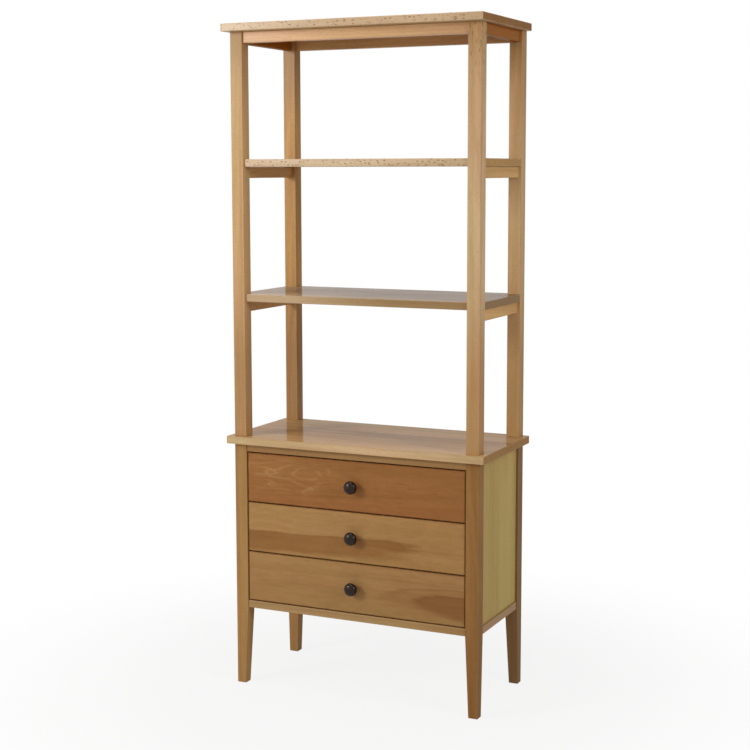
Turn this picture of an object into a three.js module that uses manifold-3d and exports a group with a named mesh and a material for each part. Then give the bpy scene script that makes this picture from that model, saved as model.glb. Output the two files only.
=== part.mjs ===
// A bookcase: an open shelf unit standing on a chest of three drawers, in clear-finished beech.
// Sizes are in millimetres. X runs to the right, Y to the back and Z up. The origin is on the
// floor, under the middle of the whole bookcase.

import * as THREE from 'three';
import { mergeVertices } from 'three/addons/utils/BufferGeometryUtils.js';
import { ConvexGeometry } from 'three/addons/geometries/ConvexGeometry.js';
import Module from 'manifold-3d';

// Frame, measured over the outer faces of the legs and posts
const frameWidth = 726;
const frameDepth = 337;

// Clearances
const fitGap = 0.3; // round tenons, tongues, dovetails and screws, and under every seat
const notchGap = 0.6; // between a shelf and the posts that it is notched round

// Legs, with a taper on the two inner faces below the case
const legSize = 36;
const footSize = 26;
const caseBottom = 220; // floor to the underside of the bottom rails, where the taper begins

// Rails of the chest
const railHeight = 20.6;
const railThickness = 20;
const railSetBack = 2; // behind the outer faces of the legs

// Stub tenons on every rail and apron
const tenonThickness = 10;
const tenonShoulder = 3; // above and below a tenon
const mortiseWall = 4; // wood left between two mortises that meet at a corner

// Base top and its screws
const baseTopThickness = 20.6;
const baseTopSideOverhang = 18;
const baseTopFrontOverhang = 14;
const railScrewInset = 107; // from the end of a top rail to its screw

// Side panels, held in grooves of the legs and the side bottom rails
const sidePanelThickness = 10;
const sidePanelRecess = 6.5; // behind the outer faces of the legs
const panelTongue = 6; // how deep a panel's edge goes into a groove

// Back panel, in rabbets of the back legs and over the back rails
const backPanelThickness = 5;
const rabbetWidth = 8;

// Drawer fronts
const drawerCount = 3;
const drawerFrontHeight = 136.5;
const drawerFrontThickness = 20;
const drawerFrontSetBack = 3; // behind the front faces of the legs
const frontGap = 3.6; // above, below and between the fronts
const frontSideGap = 3.2; // between a front and a leg

// Drawer boxes
const drawerSideThickness = 15;
const drawerBackThickness = 12;
const drawerBottomThickness = 6;
const boxBelowFrontTop = 16; // from the top of a front down to the top of its box
const boxAboveFrontFoot = 12; // from the bottom of a front up to the bottom of its box
const boxBehindGap = 4; // from the box to the inner faces of the back rails
const bottomRise = 8; // from the bottom of the sides up to the groove of the drawer bottom
const bottomGrooveDepth = 5;
const backHousingDepth = 3;
const backInset = 10; // from the rear ends of the sides to the drawer back

// Dovetails between the drawer sides and the front
const tailCount = 3;
const tailSocketDepth = 12;
const pinWidth = 10; // wood of the front between two tails
const tailSlope = 1 / 6;

// Drawer runners, with a tongue that fits a groove in the drawer side
const runnerHeight = 40;
const runnerProud = 1; // how far the runner stands in from the legs
const runnerTenonLength = 8;
const runnerShoulder = 6;
const runnerTongueHeight = 16;
const sideGrooveDepth = 8;
const tongueTipGap = 1;
const grooveStopWall = 6; // wood left in the side ahead of its groove
const stopGap = 1; // between the tongue and the end of the groove

// Knobs, each turned with a foot, a waisted neck and a rounded head
const knobDiameter = 36.4;
const knobProjection = 30.7; // from the seat to the front of the head
const knobWidest = 18.5; // from the seat to the widest part of the head
const knobFootDiameter = 19;
const knobFootThickness = 2;
const knobNeckDiameter = 12;
const knobWaist = 5.5; // from the seat to the thinnest part of the neck
const knobHeadFoot = 10; // height that the underside of the head bends towards
const knobScrewReach = 12; // how far the machine screw goes into the knob
const knobSegments = 28;
const knobCurveSteps = 6; // along each curve of the outline
const knobFullness = 0.6; // how far the curve of the head keeps out towards its corner

// Screws
const screwDiameter = 4;
const screwHeadDiameter = 8;
const screwHeadDepth = 2.4;
const screwPointLength = 4;
const screwBite = 10; // how far a wood screw goes into the base top
const roundSegments = 12;

// Shelf unit: clear heights from one board up to the next, or to the aprons
const lowerBayHeight = 374.4;
const middleBayHeight = 346.4;
const topBayHeight = 310.4;

// Posts, each with a round tenon that is let into the base top
const postSize = 36;
const postTenonDiameter = 16;
const postTenonLength = 14;

// Top board and aprons
const topBoardThickness = 20.6;
const topBoardSideOverhang = 14;
const topBoardFrontOverhang = 28;
const apronHeight = 30;
const apronThickness = 20;
const apronSetBack = 5;

// Shelves and the rails that carry their ends
const shelfThickness = 20.6;
const shelfSetBack = 6;
const shelfRailHeight = 30;
const shelfRailThickness = 20;
const shelfRailSetBack = 6;

// Heights of the chest
const openingBottom = caseBottom + railHeight;
const frontPitch = drawerFrontHeight + frontGap;
const openingTop = openingBottom + frontGap + drawerCount * frontPitch;
const caseTop = openingTop + railHeight;
const baseTopBottom = caseTop + fitGap;
const baseHeight = baseTopBottom + baseTopThickness;

// Heights of the shelf unit
const postBottom = baseHeight + fitGap;
const lowerShelfBottom = baseHeight + lowerBayHeight;
const upperShelfBottom = lowerShelfBottom + shelfThickness + middleBayHeight;
const apronBottom = upperShelfBottom + shelfThickness + topBayHeight;
const topBoardBottom = apronBottom + apronHeight;
const postTop = topBoardBottom - fitGap;

// Middles of the legs and posts
const legX = (frameWidth - legSize) / 2;
const legY = (frameDepth - legSize) / 2;
const postX = (frameWidth - postSize) / 2;
const postY = (frameDepth - postSize) / 2;

// Clear spans between the legs and between the posts
const legSpanX = frameWidth - 2 * legSize;
const legSpanY = frameDepth - 2 * legSize;
const postSpanX = frameWidth - 2 * postSize;
const postSpanY = frameDepth - 2 * postSize;

// The two ways along each axis
const sides = [{ name: 'left', sign: -1 }, { name: 'right', sign: 1 }];
const ends = [{ name: 'front', sign: -1 }, { name: 'back', sign: 1 }];
const cutMargin = 1; // how far a cut runs past the face that it opens

const finishes = {
  frame: { color: 0xb08050, roughness: 0.42, metalness: 0 },
  board: { color: 0xb5854f, roughness: 0.32, metalness: 0 },
  front: { color: 0xa9743f, roughness: 0.4, metalness: 0 },
  panel: { color: 0xc7a863, roughness: 0.5, metalness: 0 },
  drawerBox: { color: 0xd2b48a, roughness: 0.6, metalness: 0 },
  runner: { color: 0xc8a67c, roughness: 0.6, metalness: 0 },
  plywood: { color: 0xcbb083, roughness: 0.65, metalness: 0 },
  bronze: { color: 0x2b211c, roughness: 0.35, metalness: 0.8 },
  steel: { color: 0x9a9a9c, roughness: 0.4, metalness: 1 },
};

const wasm = await Module();
wasm.setup();

// A closed three.js geometry as a solid that can be cut and joined.
function toSolid(geometry) {
  const bare = geometry.clone();
  bare.deleteAttribute('normal');
  bare.deleteAttribute('uv');
  const merged = mergeVertices(bare);
  const corners = merged.index.array;
  const kept = [];
  for (let i = 0; i < corners.length; i += 3) {
    const [a, b, c] = [corners[i], corners[i + 1], corners[i + 2]];
    if (a !== b && b !== c && c !== a) {
      kept.push(a, b, c);
    }
  }
  return new wasm.Manifold(new wasm.Mesh({
    numProp: 3,
    vertProperties: Float32Array.from(merged.attributes.position.array),
    triVerts: Uint32Array.from(kept),
  }));
}

// A solid as a three.js geometry again.
function toGeometry(solid) {
  const { vertProperties, triVerts } = solid.getMesh();
  const geometry = new THREE.BufferGeometry();
  geometry.setAttribute('position', new THREE.BufferAttribute(vertProperties, 3));
  geometry.setIndex(new THREE.BufferAttribute(triVerts, 1));
  geometry.computeVertexNormals();
  return geometry;
}

// What is left of a solid when each cutter has been taken out of it.
function carve(blank, cutters) {
  return cutters.reduce((solid, cutter) => solid.subtract(toSolid(cutter)), blank);
}

// Geometries joined into one solid.
function join(shapes) {
  return shapes.map(toSolid).reduce((whole, part) => whole.add(part));
}

// A named piece with its finish.
function piece(name, solid, finish) {
  const mesh = new THREE.Mesh(toGeometry(solid), new THREE.MeshStandardMaterial(finishes[finish]));
  mesh.name = name;
  return mesh;
}

// A block between two opposite corners, given in any order.
function block([x1, y1, z1], [x2, y2, z2]) {
  const box = new THREE.BoxGeometry(Math.abs(x2 - x1), Math.abs(y2 - y1), Math.abs(z2 - z1));
  return box.translate((x1 + x2) / 2, (y1 + y2) / 2, (z1 + z2) / 2);
}

// A bar centred on the origin, with its length along x or y.
function bar(along, length, thickness, height) {
  const [width, depth] = along === 'x' ? [length, thickness] : [thickness, length];
  return new THREE.BoxGeometry(width, depth, height);
}

// A plate standing across X, from an outline of (y, z) corners.
function uprightPlate(outline, thickness) {
  const shape = new THREE.Shape(outline.map(([y, z]) => new THREE.Vector2(y, z)));
  const plate = new THREE.ExtrudeGeometry(shape, { depth: thickness, bevelEnabled: false });
  const turn = new THREE.Matrix4().makeBasis(
    new THREE.Vector3(0, 1, 0),
    new THREE.Vector3(0, 0, 1),
    new THREE.Vector3(1, 0, 0),
  );
  return plate.translate(0, 0, -thickness / 2).applyMatrix4(turn);
}

// A turned shape about Z, from (radius, height) corners that start and end on the axis.
function turned(profile, segments = roundSegments) {
  const points = profile.map(([radius, height]) => new THREE.Vector2(radius, height));
  return new THREE.LatheGeometry(points, segments).rotateX(Math.PI / 2);
}

// A countersunk wood screw pointing up, with the face of its head at height 0.
function woodScrew() {
  return turned([
    [0, 0],
    [screwHeadDiameter / 2, 0],
    [screwDiameter / 2, screwHeadDepth],
    [screwDiameter / 2, railScrewLength - screwPointLength],
    [0, railScrewLength],
  ]);
}

// The room that a wood screw needs, open below its head.
function woodScrewHole() {
  const headRadius = screwHeadDiameter / 2 + fitGap;
  const shankRadius = screwDiameter / 2 + fitGap;
  return turned([
    [0, -cutMargin],
    [headRadius, -cutMargin],
    [headRadius, 0],
    [shankRadius, screwHeadDepth],
    [shankRadius, railScrewLength + fitGap],
    [0, railScrewLength + fitGap],
  ]);
}

// A round bore or pin about Z between two heights.
function rod(diameter, low, high) {
  const cylinder = new THREE.CylinderGeometry(diameter / 2, diameter / 2, high - low, roundSegments);
  return cylinder.rotateX(Math.PI / 2).translate(0, 0, (low + high) / 2);
}

// How long a tenon can be in stock of a given size when its neighbour is set back by so much.
function tenonLengthIn(stockSize, setBack, thickness) {
  return stockSize - setBack - (thickness + tenonThickness) / 2 - mortiseWall;
}

// The bar that ends in a rail's two tenons, or the mortises for it when grown by the fit gap.
function tenonBar(plan, growth = 0) {
  const { along, span, height, tenonLength, below = tenonShoulder, above = tenonShoulder } = plan;
  const length = span + 2 * (tenonLength - fitGap + growth);
  const bladeHeight = height - below - above + 2 * growth;
  return bar(along, length, tenonThickness + 2 * growth, bladeHeight)
    .translate(0, 0, (below - above) / 2);
}

// A rail or apron with a tenon at each end, centred on the origin.
function railBlank(plan) {
  return join([bar(plan.along, plan.span - 2 * fitGap, plan.thickness, plan.height), tenonBar(plan)]);
}

// The mortises of a rail, where the rail stands in the frame.
function mortises(plan) {
  return tenonBar(plan, fitGap).translate(...plan.place);
}

// A rail set in its place, after any cuts that are given about its own middle.
function rail(plan, finish, cutters = []) {
  const mesh = piece(plan.name, carve(railBlank(plan), cutters), finish);
  mesh.position.set(...plan.place);
  return mesh;
}

// Plans of the chest's rails
const backRailSetBack = backPanelThickness + 2 * fitGap;
const railTenonLength = tenonLengthIn(legSize, railSetBack, railThickness);
const bottomRailZ = caseBottom + railHeight / 2;
const topRailZ = caseTop - railHeight / 2;

function crossRail(name, sign, setBack, z) {
  return {
    name,
    along: 'x',
    span: legSpanX,
    thickness: railThickness,
    height: railHeight,
    tenonLength: railTenonLength,
    place: [0, sign * (frameDepth / 2 - setBack - railThickness / 2), z],
  };
}

const frontTopRail = crossRail('front_top_rail', -1, railSetBack, topRailZ);
const frontBottomRail = crossRail('front_bottom_rail', -1, railSetBack, bottomRailZ);
const backTopRail = crossRail('back_top_rail', 1, backRailSetBack, topRailZ);
const backBottomRail = crossRail('back_bottom_rail', 1, backRailSetBack, bottomRailZ);
const crossRails = [frontTopRail, frontBottomRail, backTopRail, backBottomRail];

function sideBottomRail(side) {
  return {
    name: `side_bottom_rail_${side.name}`,
    along: 'y',
    span: legSpanY,
    thickness: railThickness,
    height: railHeight,
    tenonLength: railTenonLength,
    above: panelTongue + tenonShoulder,
    place: [side.sign * (frameWidth / 2 - railSetBack - railThickness / 2), 0, bottomRailZ],
  };
}

// The drawer's own sizes, in its own frame: x from its middle, y back from the face of its
// front and z up from the foot of its front
const drawerFrontWidth = legSpanX - 2 * frontSideGap;
const drawerPlaceY = -frameDepth / 2 + drawerFrontSetBack;
const boxBottom = boxAboveFrontFoot;
const boxTop = drawerFrontHeight - boxBelowFrontTop;
const boxMiddle = (boxBottom + boxTop) / 2;
const boxShoulder = drawerFrontThickness + fitGap;
const boxEnd = backTopRail.place[1] - railThickness / 2 - boxBehindGap - drawerPlaceY;
const boxInnerHalf = drawerFrontWidth / 2 - drawerSideThickness;
const bottomGrooveLow = boxBottom + bottomRise;
const bottomGrooveHigh = bottomGrooveLow + drawerBottomThickness + 2 * fitGap;
const sideGrooveStart = boxShoulder + grooveStopWall;

function drawerPlaceZ(index) {
  return openingTop - (index + 1) * frontPitch;
}

// Plans of the drawer runners
const runnerInnerX = legSpanX / 2 - runnerProud;
const runnerOuterX = frameWidth / 2 - sidePanelRecess - sidePanelThickness - fitGap;

function runnerPlan(index, side) {
  return {
    name: `drawer_runner_${index + 1}_${side.name}`,
    along: 'y',
    span: legSpanY,
    thickness: runnerOuterX - runnerInnerX,
    height: runnerHeight,
    tenonLength: runnerTenonLength,
    below: runnerShoulder,
    above: runnerShoulder,
    place: [(side.sign * (runnerInnerX + runnerOuterX)) / 2, 0, drawerPlaceZ(index) + boxMiddle],
  };
}

const drawerIndexes = Array.from({ length: drawerCount }, (_, i) => i);

// A groove for a side panel, between two heights, running the given way from the frame's middle.
function panelGroove(side, halfLength, low, high) {
  const outer = frameWidth / 2 - sidePanelRecess + fitGap;
  const inner = frameWidth / 2 - sidePanelRecess - sidePanelThickness - fitGap;
  return block([side.sign * inner, -halfLength, low], [side.sign * outer, halfLength, high]);
}

// A leg, in its own frame: the middle of its section at the floor.
function leg(side, end) {
  const half = legSize / 2;
  const corners = [];
  for (const [size, z] of [[footSize, 0], [legSize, caseBottom], [legSize, caseTop]]) {
    for (const x of [half, half - size]) {
      for (const y of [half, half - size]) {
        corners.push(new THREE.Vector3(side.sign * x, end.sign * y, z));
      }
    }
  }
  const cutters = [
    ...crossRails.filter((plan) => Math.sign(plan.place[1]) === end.sign).map(mortises),
    mortises(sideBottomRail(side)),
    ...drawerIndexes.map((index) => mortises(runnerPlan(index, side))),
    panelGroove(side, legSpanY / 2 + panelTongue, openingBottom - panelTongue, caseTop + cutMargin),
  ];
  if (end.name === 'back') {
    const rabbetX = legSpanX / 2 + rabbetWidth;
    const rabbetY = frameDepth / 2 - backRailSetBack;
    cutters.push(block(
      [side.sign * (legSpanX / 2 - cutMargin), rabbetY, caseBottom - fitGap],
      [side.sign * rabbetX, frameDepth / 2 + cutMargin, caseTop + cutMargin],
    ));
  }
  const place = [side.sign * legX, end.sign * legY, 0];
  const local = cutters.map((cutter) => cutter.translate(-place[0], -place[1], 0));
  const solid = carve(toSolid(new ConvexGeometry(corners)), local);
  const mesh = piece(`leg_${end.name}_${side.name}`, solid, 'frame');
  mesh.position.set(...place);
  return mesh;
}

// The base top's screws, each up through a top rail from its underside
const railScrewLength = railHeight + fitGap + screwBite;
const railScrewX = legSpanX / 2 - railScrewInset;
const railScrewZ = caseTop - railHeight;
const topRails = { front: frontTopRail, back: backTopRail };

function baseTopScrew(side, end) {
  const mesh = piece(`base_top_screw_${end.name}_${side.name}`, toSolid(woodScrew()), 'steel');
  mesh.position.set(side.sign * railScrewX, topRails[end.name].place[1], railScrewZ);
  return mesh;
}

function backPanel() {
  const width = legSpanX + 2 * (rabbetWidth - fitGap);
  const board = new THREE.BoxGeometry(width, backPanelThickness, caseTop - caseBottom);
  const mesh = piece('back_panel', toSolid(board), 'plywood');
  mesh.position.set(0, frameDepth / 2 - fitGap - backPanelThickness / 2, (caseBottom + caseTop) / 2);
  return mesh;
}

function sidePanel(side) {
  const middleX = frameWidth / 2 - sidePanelRecess - sidePanelThickness / 2;
  const low = openingBottom - panelTongue + fitGap;
  const depth = legSpanY + 2 * (panelTongue - fitGap);
  const board = new THREE.BoxGeometry(sidePanelThickness, depth, caseTop - low);
  const mesh = piece(`side_panel_${side.name}`, toSolid(board), 'panel');
  mesh.position.set(side.sign * middleX, 0, (low + caseTop) / 2);
  return mesh;
}

function runner(index, side) {
  const plan = runnerPlan(index, side);
  const [x, , z] = plan.place;
  const tipX = drawerFrontWidth / 2 - sideGrooveDepth + tongueTipGap;
  const tongue = block(
    [side.sign * tipX - x, drawerPlaceY + sideGrooveStart + stopGap, -runnerTongueHeight / 2],
    [side.sign * (legSpanX / 2 - fitGap) - x, drawerPlaceY + boxEnd, runnerTongueHeight / 2],
  );
  const mesh = piece(plan.name, railBlank(plan).add(toSolid(tongue)), 'runner');
  mesh.position.set(x, 0, z);
  return mesh;
}

function baseTop() {
  const width = frameWidth + 2 * baseTopSideOverhang;
  const depth = frameDepth + baseTopFrontOverhang;
  const blank = new THREE.BoxGeometry(width, depth, baseTopThickness);
  const place = [0, -baseTopFrontOverhang / 2, baseTopBottom + baseTopThickness / 2];
  const cutters = [];
  for (const side of sides) {
    for (const end of ends) {
      const railY = topRails[end.name].place[1];
      cutters.push(woodScrewHole().translate(side.sign * railScrewX, railY, railScrewZ));
      const boreFloor = baseHeight - postTenonLength;
      const bore = rod(postTenonDiameter + 2 * fitGap, boreFloor, baseHeight + cutMargin);
      cutters.push(bore.translate(side.sign * postX, end.sign * postY, 0));
    }
  }
  const local = cutters.map((cutter) => cutter.translate(-place[0], -place[1], -place[2]));
  const mesh = piece('base_top', carve(toSolid(blank), local), 'board');
  mesh.position.set(...place);
  return mesh;
}

// The chest without its drawers.
function chestCase() {
  const group = new THREE.Group();
  for (const side of sides) {
    for (const end of ends) {
      group.add(leg(side, end), baseTopScrew(side, end));
    }
    const groove = panelGroove(side, frameDepth / 2, openingBottom - panelTongue, caseTop);
    const railUnder = sideBottomRail(side);
    const [x, y, z] = railUnder.place;
    group.add(rail(railUnder, 'frame', [groove.translate(-x, -y, -z)]));
    group.add(sidePanel(side));
    for (const index of drawerIndexes) {
      group.add(runner(index, side));
    }
  }
  for (const end of ends) {
    const holes = sides.map(
      (side) => woodScrewHole().translate(side.sign * railScrewX, 0, -railHeight / 2),
    );
    group.add(rail(topRails[end.name], 'frame', holes));
  }
  group.add(rail(frontBottomRail, 'frame'), rail(backBottomRail, 'frame'));
  group.add(backPanel(), baseTop());
  return group;
}

// Corners (y, z) of one dovetail about a height, or of its socket when grown by the fit gap.
const tailPitch = (boxTop - boxBottom) / tailCount;
const tailTipHeight = tailPitch - pinWidth;

function tailCorners(middle, growth = 0) {
  const tipY = drawerFrontThickness - tailSocketDepth + fitGap;
  const halfAt = (y) => tailTipHeight / 2 - (y - tipY) * tailSlope + growth;
  const root = boxShoulder + growth;
  const tip = tipY - growth;
  return [
    [root, middle - halfAt(root)],
    [tip, middle - halfAt(tip)],
    [tip, middle + halfAt(tip)],
    [root, middle + halfAt(root)],
  ];
}

const tailMiddles = Array.from({ length: tailCount }, (_, i) => boxBottom + (i + 0.5) * tailPitch);

function drawerFront(name) {
  const blank = block([-drawerFrontWidth / 2, 0, 0], [
    drawerFrontWidth / 2,
    drawerFrontThickness,
    drawerFrontHeight,
  ]);
  const cutters = [
    block(
      [-boxInnerHalf - bottomGrooveDepth, drawerFrontThickness - bottomGrooveDepth, bottomGrooveLow],
      [boxInnerHalf + bottomGrooveDepth, drawerFrontThickness + cutMargin, bottomGrooveHigh],
    ),
    rod(screwDiameter + 2 * fitGap, -cutMargin, drawerFrontThickness + cutMargin)
      .rotateX(-Math.PI / 2)
      .translate(0, 0, drawerFrontHeight / 2),
  ];
  const socketWidth = drawerSideThickness + fitGap + cutMargin;
  for (const side of sides) {
    for (const middle of tailMiddles) {
      const socket = uprightPlate(tailCorners(middle, fitGap), socketWidth);
      cutters.push(socket.translate(side.sign * (boxInnerHalf - fitGap + socketWidth / 2), 0, 0));
    }
  }
  return piece(`${name}_front`, carve(toSolid(blank), cutters), 'front');
}

function drawerSide(name, side) {
  const outline = [
    [boxShoulder, boxBottom],
    ...tailMiddles.flatMap((middle) => tailCorners(middle)),
    [boxShoulder, boxTop],
    [boxEnd, boxTop],
    [boxEnd, boxBottom],
  ];
  const outer = drawerSideThickness / 2;
  const backFace = boxEnd - backInset;
  const grooveHalf = runnerTongueHeight / 2 + fitGap;
  const cutters = [
    block(
      [side.sign * (outer - sideGrooveDepth), sideGrooveStart, boxMiddle - grooveHalf],
      [side.sign * (outer + cutMargin), boxEnd + cutMargin, boxMiddle + grooveHalf],
    ),
    block(
      [-side.sign * (outer - bottomGrooveDepth), -cutMargin, bottomGrooveLow],
      [-side.sign * (outer + cutMargin), boxEnd + cutMargin, bottomGrooveHigh],
    ),
    block(
      [-side.sign * (outer - backHousingDepth), backFace - drawerBackThickness - fitGap, bottomGrooveLow],
      [-side.sign * (outer + cutMargin), backFace + fitGap, boxTop + cutMargin],
    ),
  ];
  const solid = carve(toSolid(uprightPlate(outline, drawerSideThickness)), cutters);
  const mesh = piece(`${name}_side_${side.name}`, solid, 'drawerBox');
  mesh.position.x = (side.sign * (drawerFrontWidth - drawerSideThickness)) / 2;
  return mesh;
}

function drawerBack(name) {
  const halfWidth = boxInnerHalf + backHousingDepth - fitGap;
  const backFace = boxEnd - backInset;
  const board = block(
    [-halfWidth, backFace - drawerBackThickness, bottomGrooveHigh],
    [halfWidth, backFace, boxTop],
  );
  return piece(`${name}_back`, toSolid(board), 'drawerBox');
}

function drawerBottom(name) {
  const halfWidth = boxInnerHalf + bottomGrooveDepth - fitGap;
  const board = block(
    [-halfWidth, drawerFrontThickness - bottomGrooveDepth + fitGap, bottomGrooveLow + fitGap],
    [halfWidth, boxEnd, bottomGrooveHigh - fitGap],
  );
  return piece(`${name}_bottom`, toSolid(board), 'plywood');
}

// Half outline of a knob, from the middle of its seat to the middle of its front.
function knobProfile() {
  const rim = knobDiameter / 2;
  const neck = knobNeckDiameter / 2;
  const foot = knobFootDiameter / 2;
  const shoulder = knobWidest + (knobProjection - knobWidest) * knobFullness;
  const path = new THREE.Path();
  path.moveTo(0, 0);
  path.lineTo(foot, 0);
  path.lineTo(foot, knobFootThickness);
  path.quadraticCurveTo(neck, knobFootThickness, neck, knobWaist);
  path.bezierCurveTo(neck, knobHeadFoot, rim, knobHeadFoot, rim, knobWidest);
  path.bezierCurveTo(rim, shoulder, rim * knobFullness, knobProjection, 0, knobProjection);
  return path.getPoints(knobCurveSteps).map(({ x, y }) => [x, y]);
}

function knob(name) {
  const bore = rod(screwDiameter + 2 * fitGap, -cutMargin, knobScrewReach + fitGap);
  const solid = carve(toSolid(turned(knobProfile(), knobSegments)), [bore]);
  const mesh = piece(`${name}_knob`, solid, 'bronze');
  mesh.geometry.rotateX(Math.PI / 2);
  mesh.position.set(0, -fitGap, drawerFrontHeight / 2);
  return mesh;
}

// A pan-headed machine screw, driven from inside the drawer through its front into the knob.
function knobScrew(name) {
  const length = boxShoulder + fitGap + knobScrewReach;
  const shape = turned([
    [0, -screwHeadDepth],
    [screwHeadDiameter / 3, -screwHeadDepth],
    [screwHeadDiameter / 2, -screwHeadDepth / 2],
    [screwHeadDiameter / 2, 0],
    [screwDiameter / 2, 0],
    [screwDiameter / 2, length - fitGap],
    [0, length - fitGap],
  ]);
  const mesh = piece(`${name}_knob_screw`, toSolid(shape), 'steel');
  mesh.geometry.rotateX(Math.PI / 2);
  mesh.position.set(0, boxShoulder, drawerFrontHeight / 2);
  return mesh;
}

// One drawer, counted from the top.
function drawer(index) {
  const name = `drawer_${index + 1}`;
  const group = new THREE.Group();
  group.add(drawerFront(name), drawerBack(name), drawerBottom(name), knob(name), knobScrew(name));
  for (const side of sides) {
    group.add(drawerSide(name, side));
  }
  group.position.set(0, drawerPlaceY, drawerPlaceZ(index));
  return group;
}

// Plans of the aprons and shelf rails
const apronTenonLength = tenonLengthIn(postSize, apronSetBack, apronThickness);
const apronZ = (apronBottom + postTop) / 2;

function apron(along, { name, sign }) {
  const across = along === 'x' ? frameDepth : frameWidth;
  const offset = sign * (across / 2 - apronSetBack - apronThickness / 2);
  return {
    name: `apron_${name}`,
    along,
    span: along === 'x' ? postSpanX : postSpanY,
    thickness: apronThickness,
    height: postTop - apronBottom,
    tenonLength: apronTenonLength,
    place: along === 'x' ? [0, offset, apronZ] : [offset, 0, apronZ],
  };
}

const crossAprons = ends.map((end) => apron('x', end));
const sideAprons = sides.map((side) => apron('y', side));

const shelves = [
  { name: 'upper', bottom: upperShelfBottom },
  { name: 'lower', bottom: lowerShelfBottom },
];

function shelfRail(shelf, side) {
  const inset = shelfRailSetBack + shelfRailThickness / 2;
  return {
    name: `shelf_rail_${shelf.name}_${side.name}`,
    along: 'y',
    span: postSpanY,
    thickness: shelfRailThickness,
    height: shelfRailHeight,
    tenonLength: tenonLengthIn(postSize, shelfRailSetBack, shelfRailThickness),
    place: [side.sign * (frameWidth / 2 - inset), 0, shelf.bottom - fitGap - shelfRailHeight / 2],
  };
}

// A post, in its own frame: the middle of its section at its foot, above its round tenon.
function post(side, end) {
  const place = [side.sign * postX, end.sign * postY, postBottom];
  const height = postTop - postBottom;
  const stock = new THREE.BoxGeometry(postSize, postSize, height).translate(0, 0, height / 2);
  const tenon = rod(postTenonDiameter, -postTenonLength, postTenonLength);
  const cutters = [
    ...crossAprons.filter((plan) => Math.sign(plan.place[1]) === end.sign).map(mortises),
    ...sideAprons.filter((plan) => Math.sign(plan.place[0]) === side.sign).map(mortises),
    ...shelves.map((shelf) => mortises(shelfRail(shelf, side))),
  ];
  const local = cutters.map((cutter) => cutter.translate(-place[0], -place[1], -place[2]));
  const solid = carve(join([stock, tenon]), local);
  const mesh = piece(`post_${end.name}_${side.name}`, solid, 'frame');
  mesh.position.set(...place);
  return mesh;
}

function topBoard() {
  const width = frameWidth + 2 * topBoardSideOverhang;
  const depth = frameDepth + topBoardFrontOverhang;
  const board = new THREE.BoxGeometry(width, depth, topBoardThickness);
  const mesh = piece('top_board', toSolid(board), 'board');
  mesh.position.set(0, -topBoardFrontOverhang / 2, topBoardBottom + topBoardThickness / 2);
  return mesh;
}

// A shelf whose ends lie between the posts and whose edges run past their inner faces.
function shelfBoard(shelf) {
  const endX = frameWidth / 2;
  const endY = frameDepth / 2 - postSize - notchGap;
  const edgeX = frameWidth / 2 - postSize - notchGap;
  const edgeY = frameDepth / 2 - shelfSetBack;
  const quarter = [[endX, endY], [edgeX, endY], [edgeX, edgeY]];
  const outline = [
    ...quarter,
    ...quarter.map(([x, y]) => [-x, y]).reverse(),
    ...quarter.map(([x, y]) => [-x, -y]),
    ...quarter.map(([x, y]) => [x, -y]).reverse(),
  ];
  const shape = new THREE.Shape(outline.map(([x, y]) => new THREE.Vector2(x, y)));
  const board = new THREE.ExtrudeGeometry(shape, { depth: shelfThickness, bevelEnabled: false });
  const mesh = piece(`shelf_${shelf.name}`, toSolid(board), 'board');
  mesh.position.z = shelf.bottom;
  return mesh;
}

function shelfUnit() {
  const group = new THREE.Group();
  for (const side of sides) {
    for (const end of ends) {
      group.add(post(side, end));
    }
    for (const shelf of shelves) {
      group.add(rail(shelfRail(shelf, side), 'frame'));
    }
  }
  for (const plan of [...crossAprons, ...sideAprons]) {
    group.add(rail(plan, 'frame'));
  }
  group.add(...shelves.map(shelfBoard), topBoard());
  return group;
}

// The whole bookcase, moved back so that the origin lies under its middle.
const frontReach = Math.max(
  topBoardFrontOverhang,
  baseTopFrontOverhang,
  fitGap + knobProjection - drawerFrontSetBack,
);

const bookcase = new THREE.Group();
bookcase.add(chestCase(), ...drawerIndexes.map(drawer), shelfUnit());
bookcase.position.y = frontReach / 2;

export default bookcase;
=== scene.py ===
"""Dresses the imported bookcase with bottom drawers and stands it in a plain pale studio.

Every size is in metres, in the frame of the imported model: X runs to the right, Y to the back
and Z up, with the origin on the floor under the middle of the bookcase.
"""

import logging
import math
from dataclasses import dataclass, field, replace
from enum import Enum
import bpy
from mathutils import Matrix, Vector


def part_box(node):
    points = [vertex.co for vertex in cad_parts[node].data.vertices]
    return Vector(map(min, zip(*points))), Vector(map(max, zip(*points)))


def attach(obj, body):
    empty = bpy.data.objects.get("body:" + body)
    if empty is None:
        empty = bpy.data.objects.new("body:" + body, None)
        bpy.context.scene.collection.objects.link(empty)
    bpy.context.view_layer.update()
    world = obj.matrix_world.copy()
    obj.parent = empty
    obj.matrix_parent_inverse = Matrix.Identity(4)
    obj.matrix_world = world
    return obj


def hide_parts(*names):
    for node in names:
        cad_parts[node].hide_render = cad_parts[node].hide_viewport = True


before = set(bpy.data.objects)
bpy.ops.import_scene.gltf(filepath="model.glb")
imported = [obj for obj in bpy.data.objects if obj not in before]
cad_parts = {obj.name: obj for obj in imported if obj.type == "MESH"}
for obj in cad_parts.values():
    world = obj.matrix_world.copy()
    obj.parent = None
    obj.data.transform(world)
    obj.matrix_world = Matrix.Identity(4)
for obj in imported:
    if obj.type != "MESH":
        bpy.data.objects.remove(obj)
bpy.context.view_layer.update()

from types import SimpleNamespace
from typing import Iterator

import bmesh
import bpy
from mathutils import Euler, Vector

log = logging.getLogger("bookcase")

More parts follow.
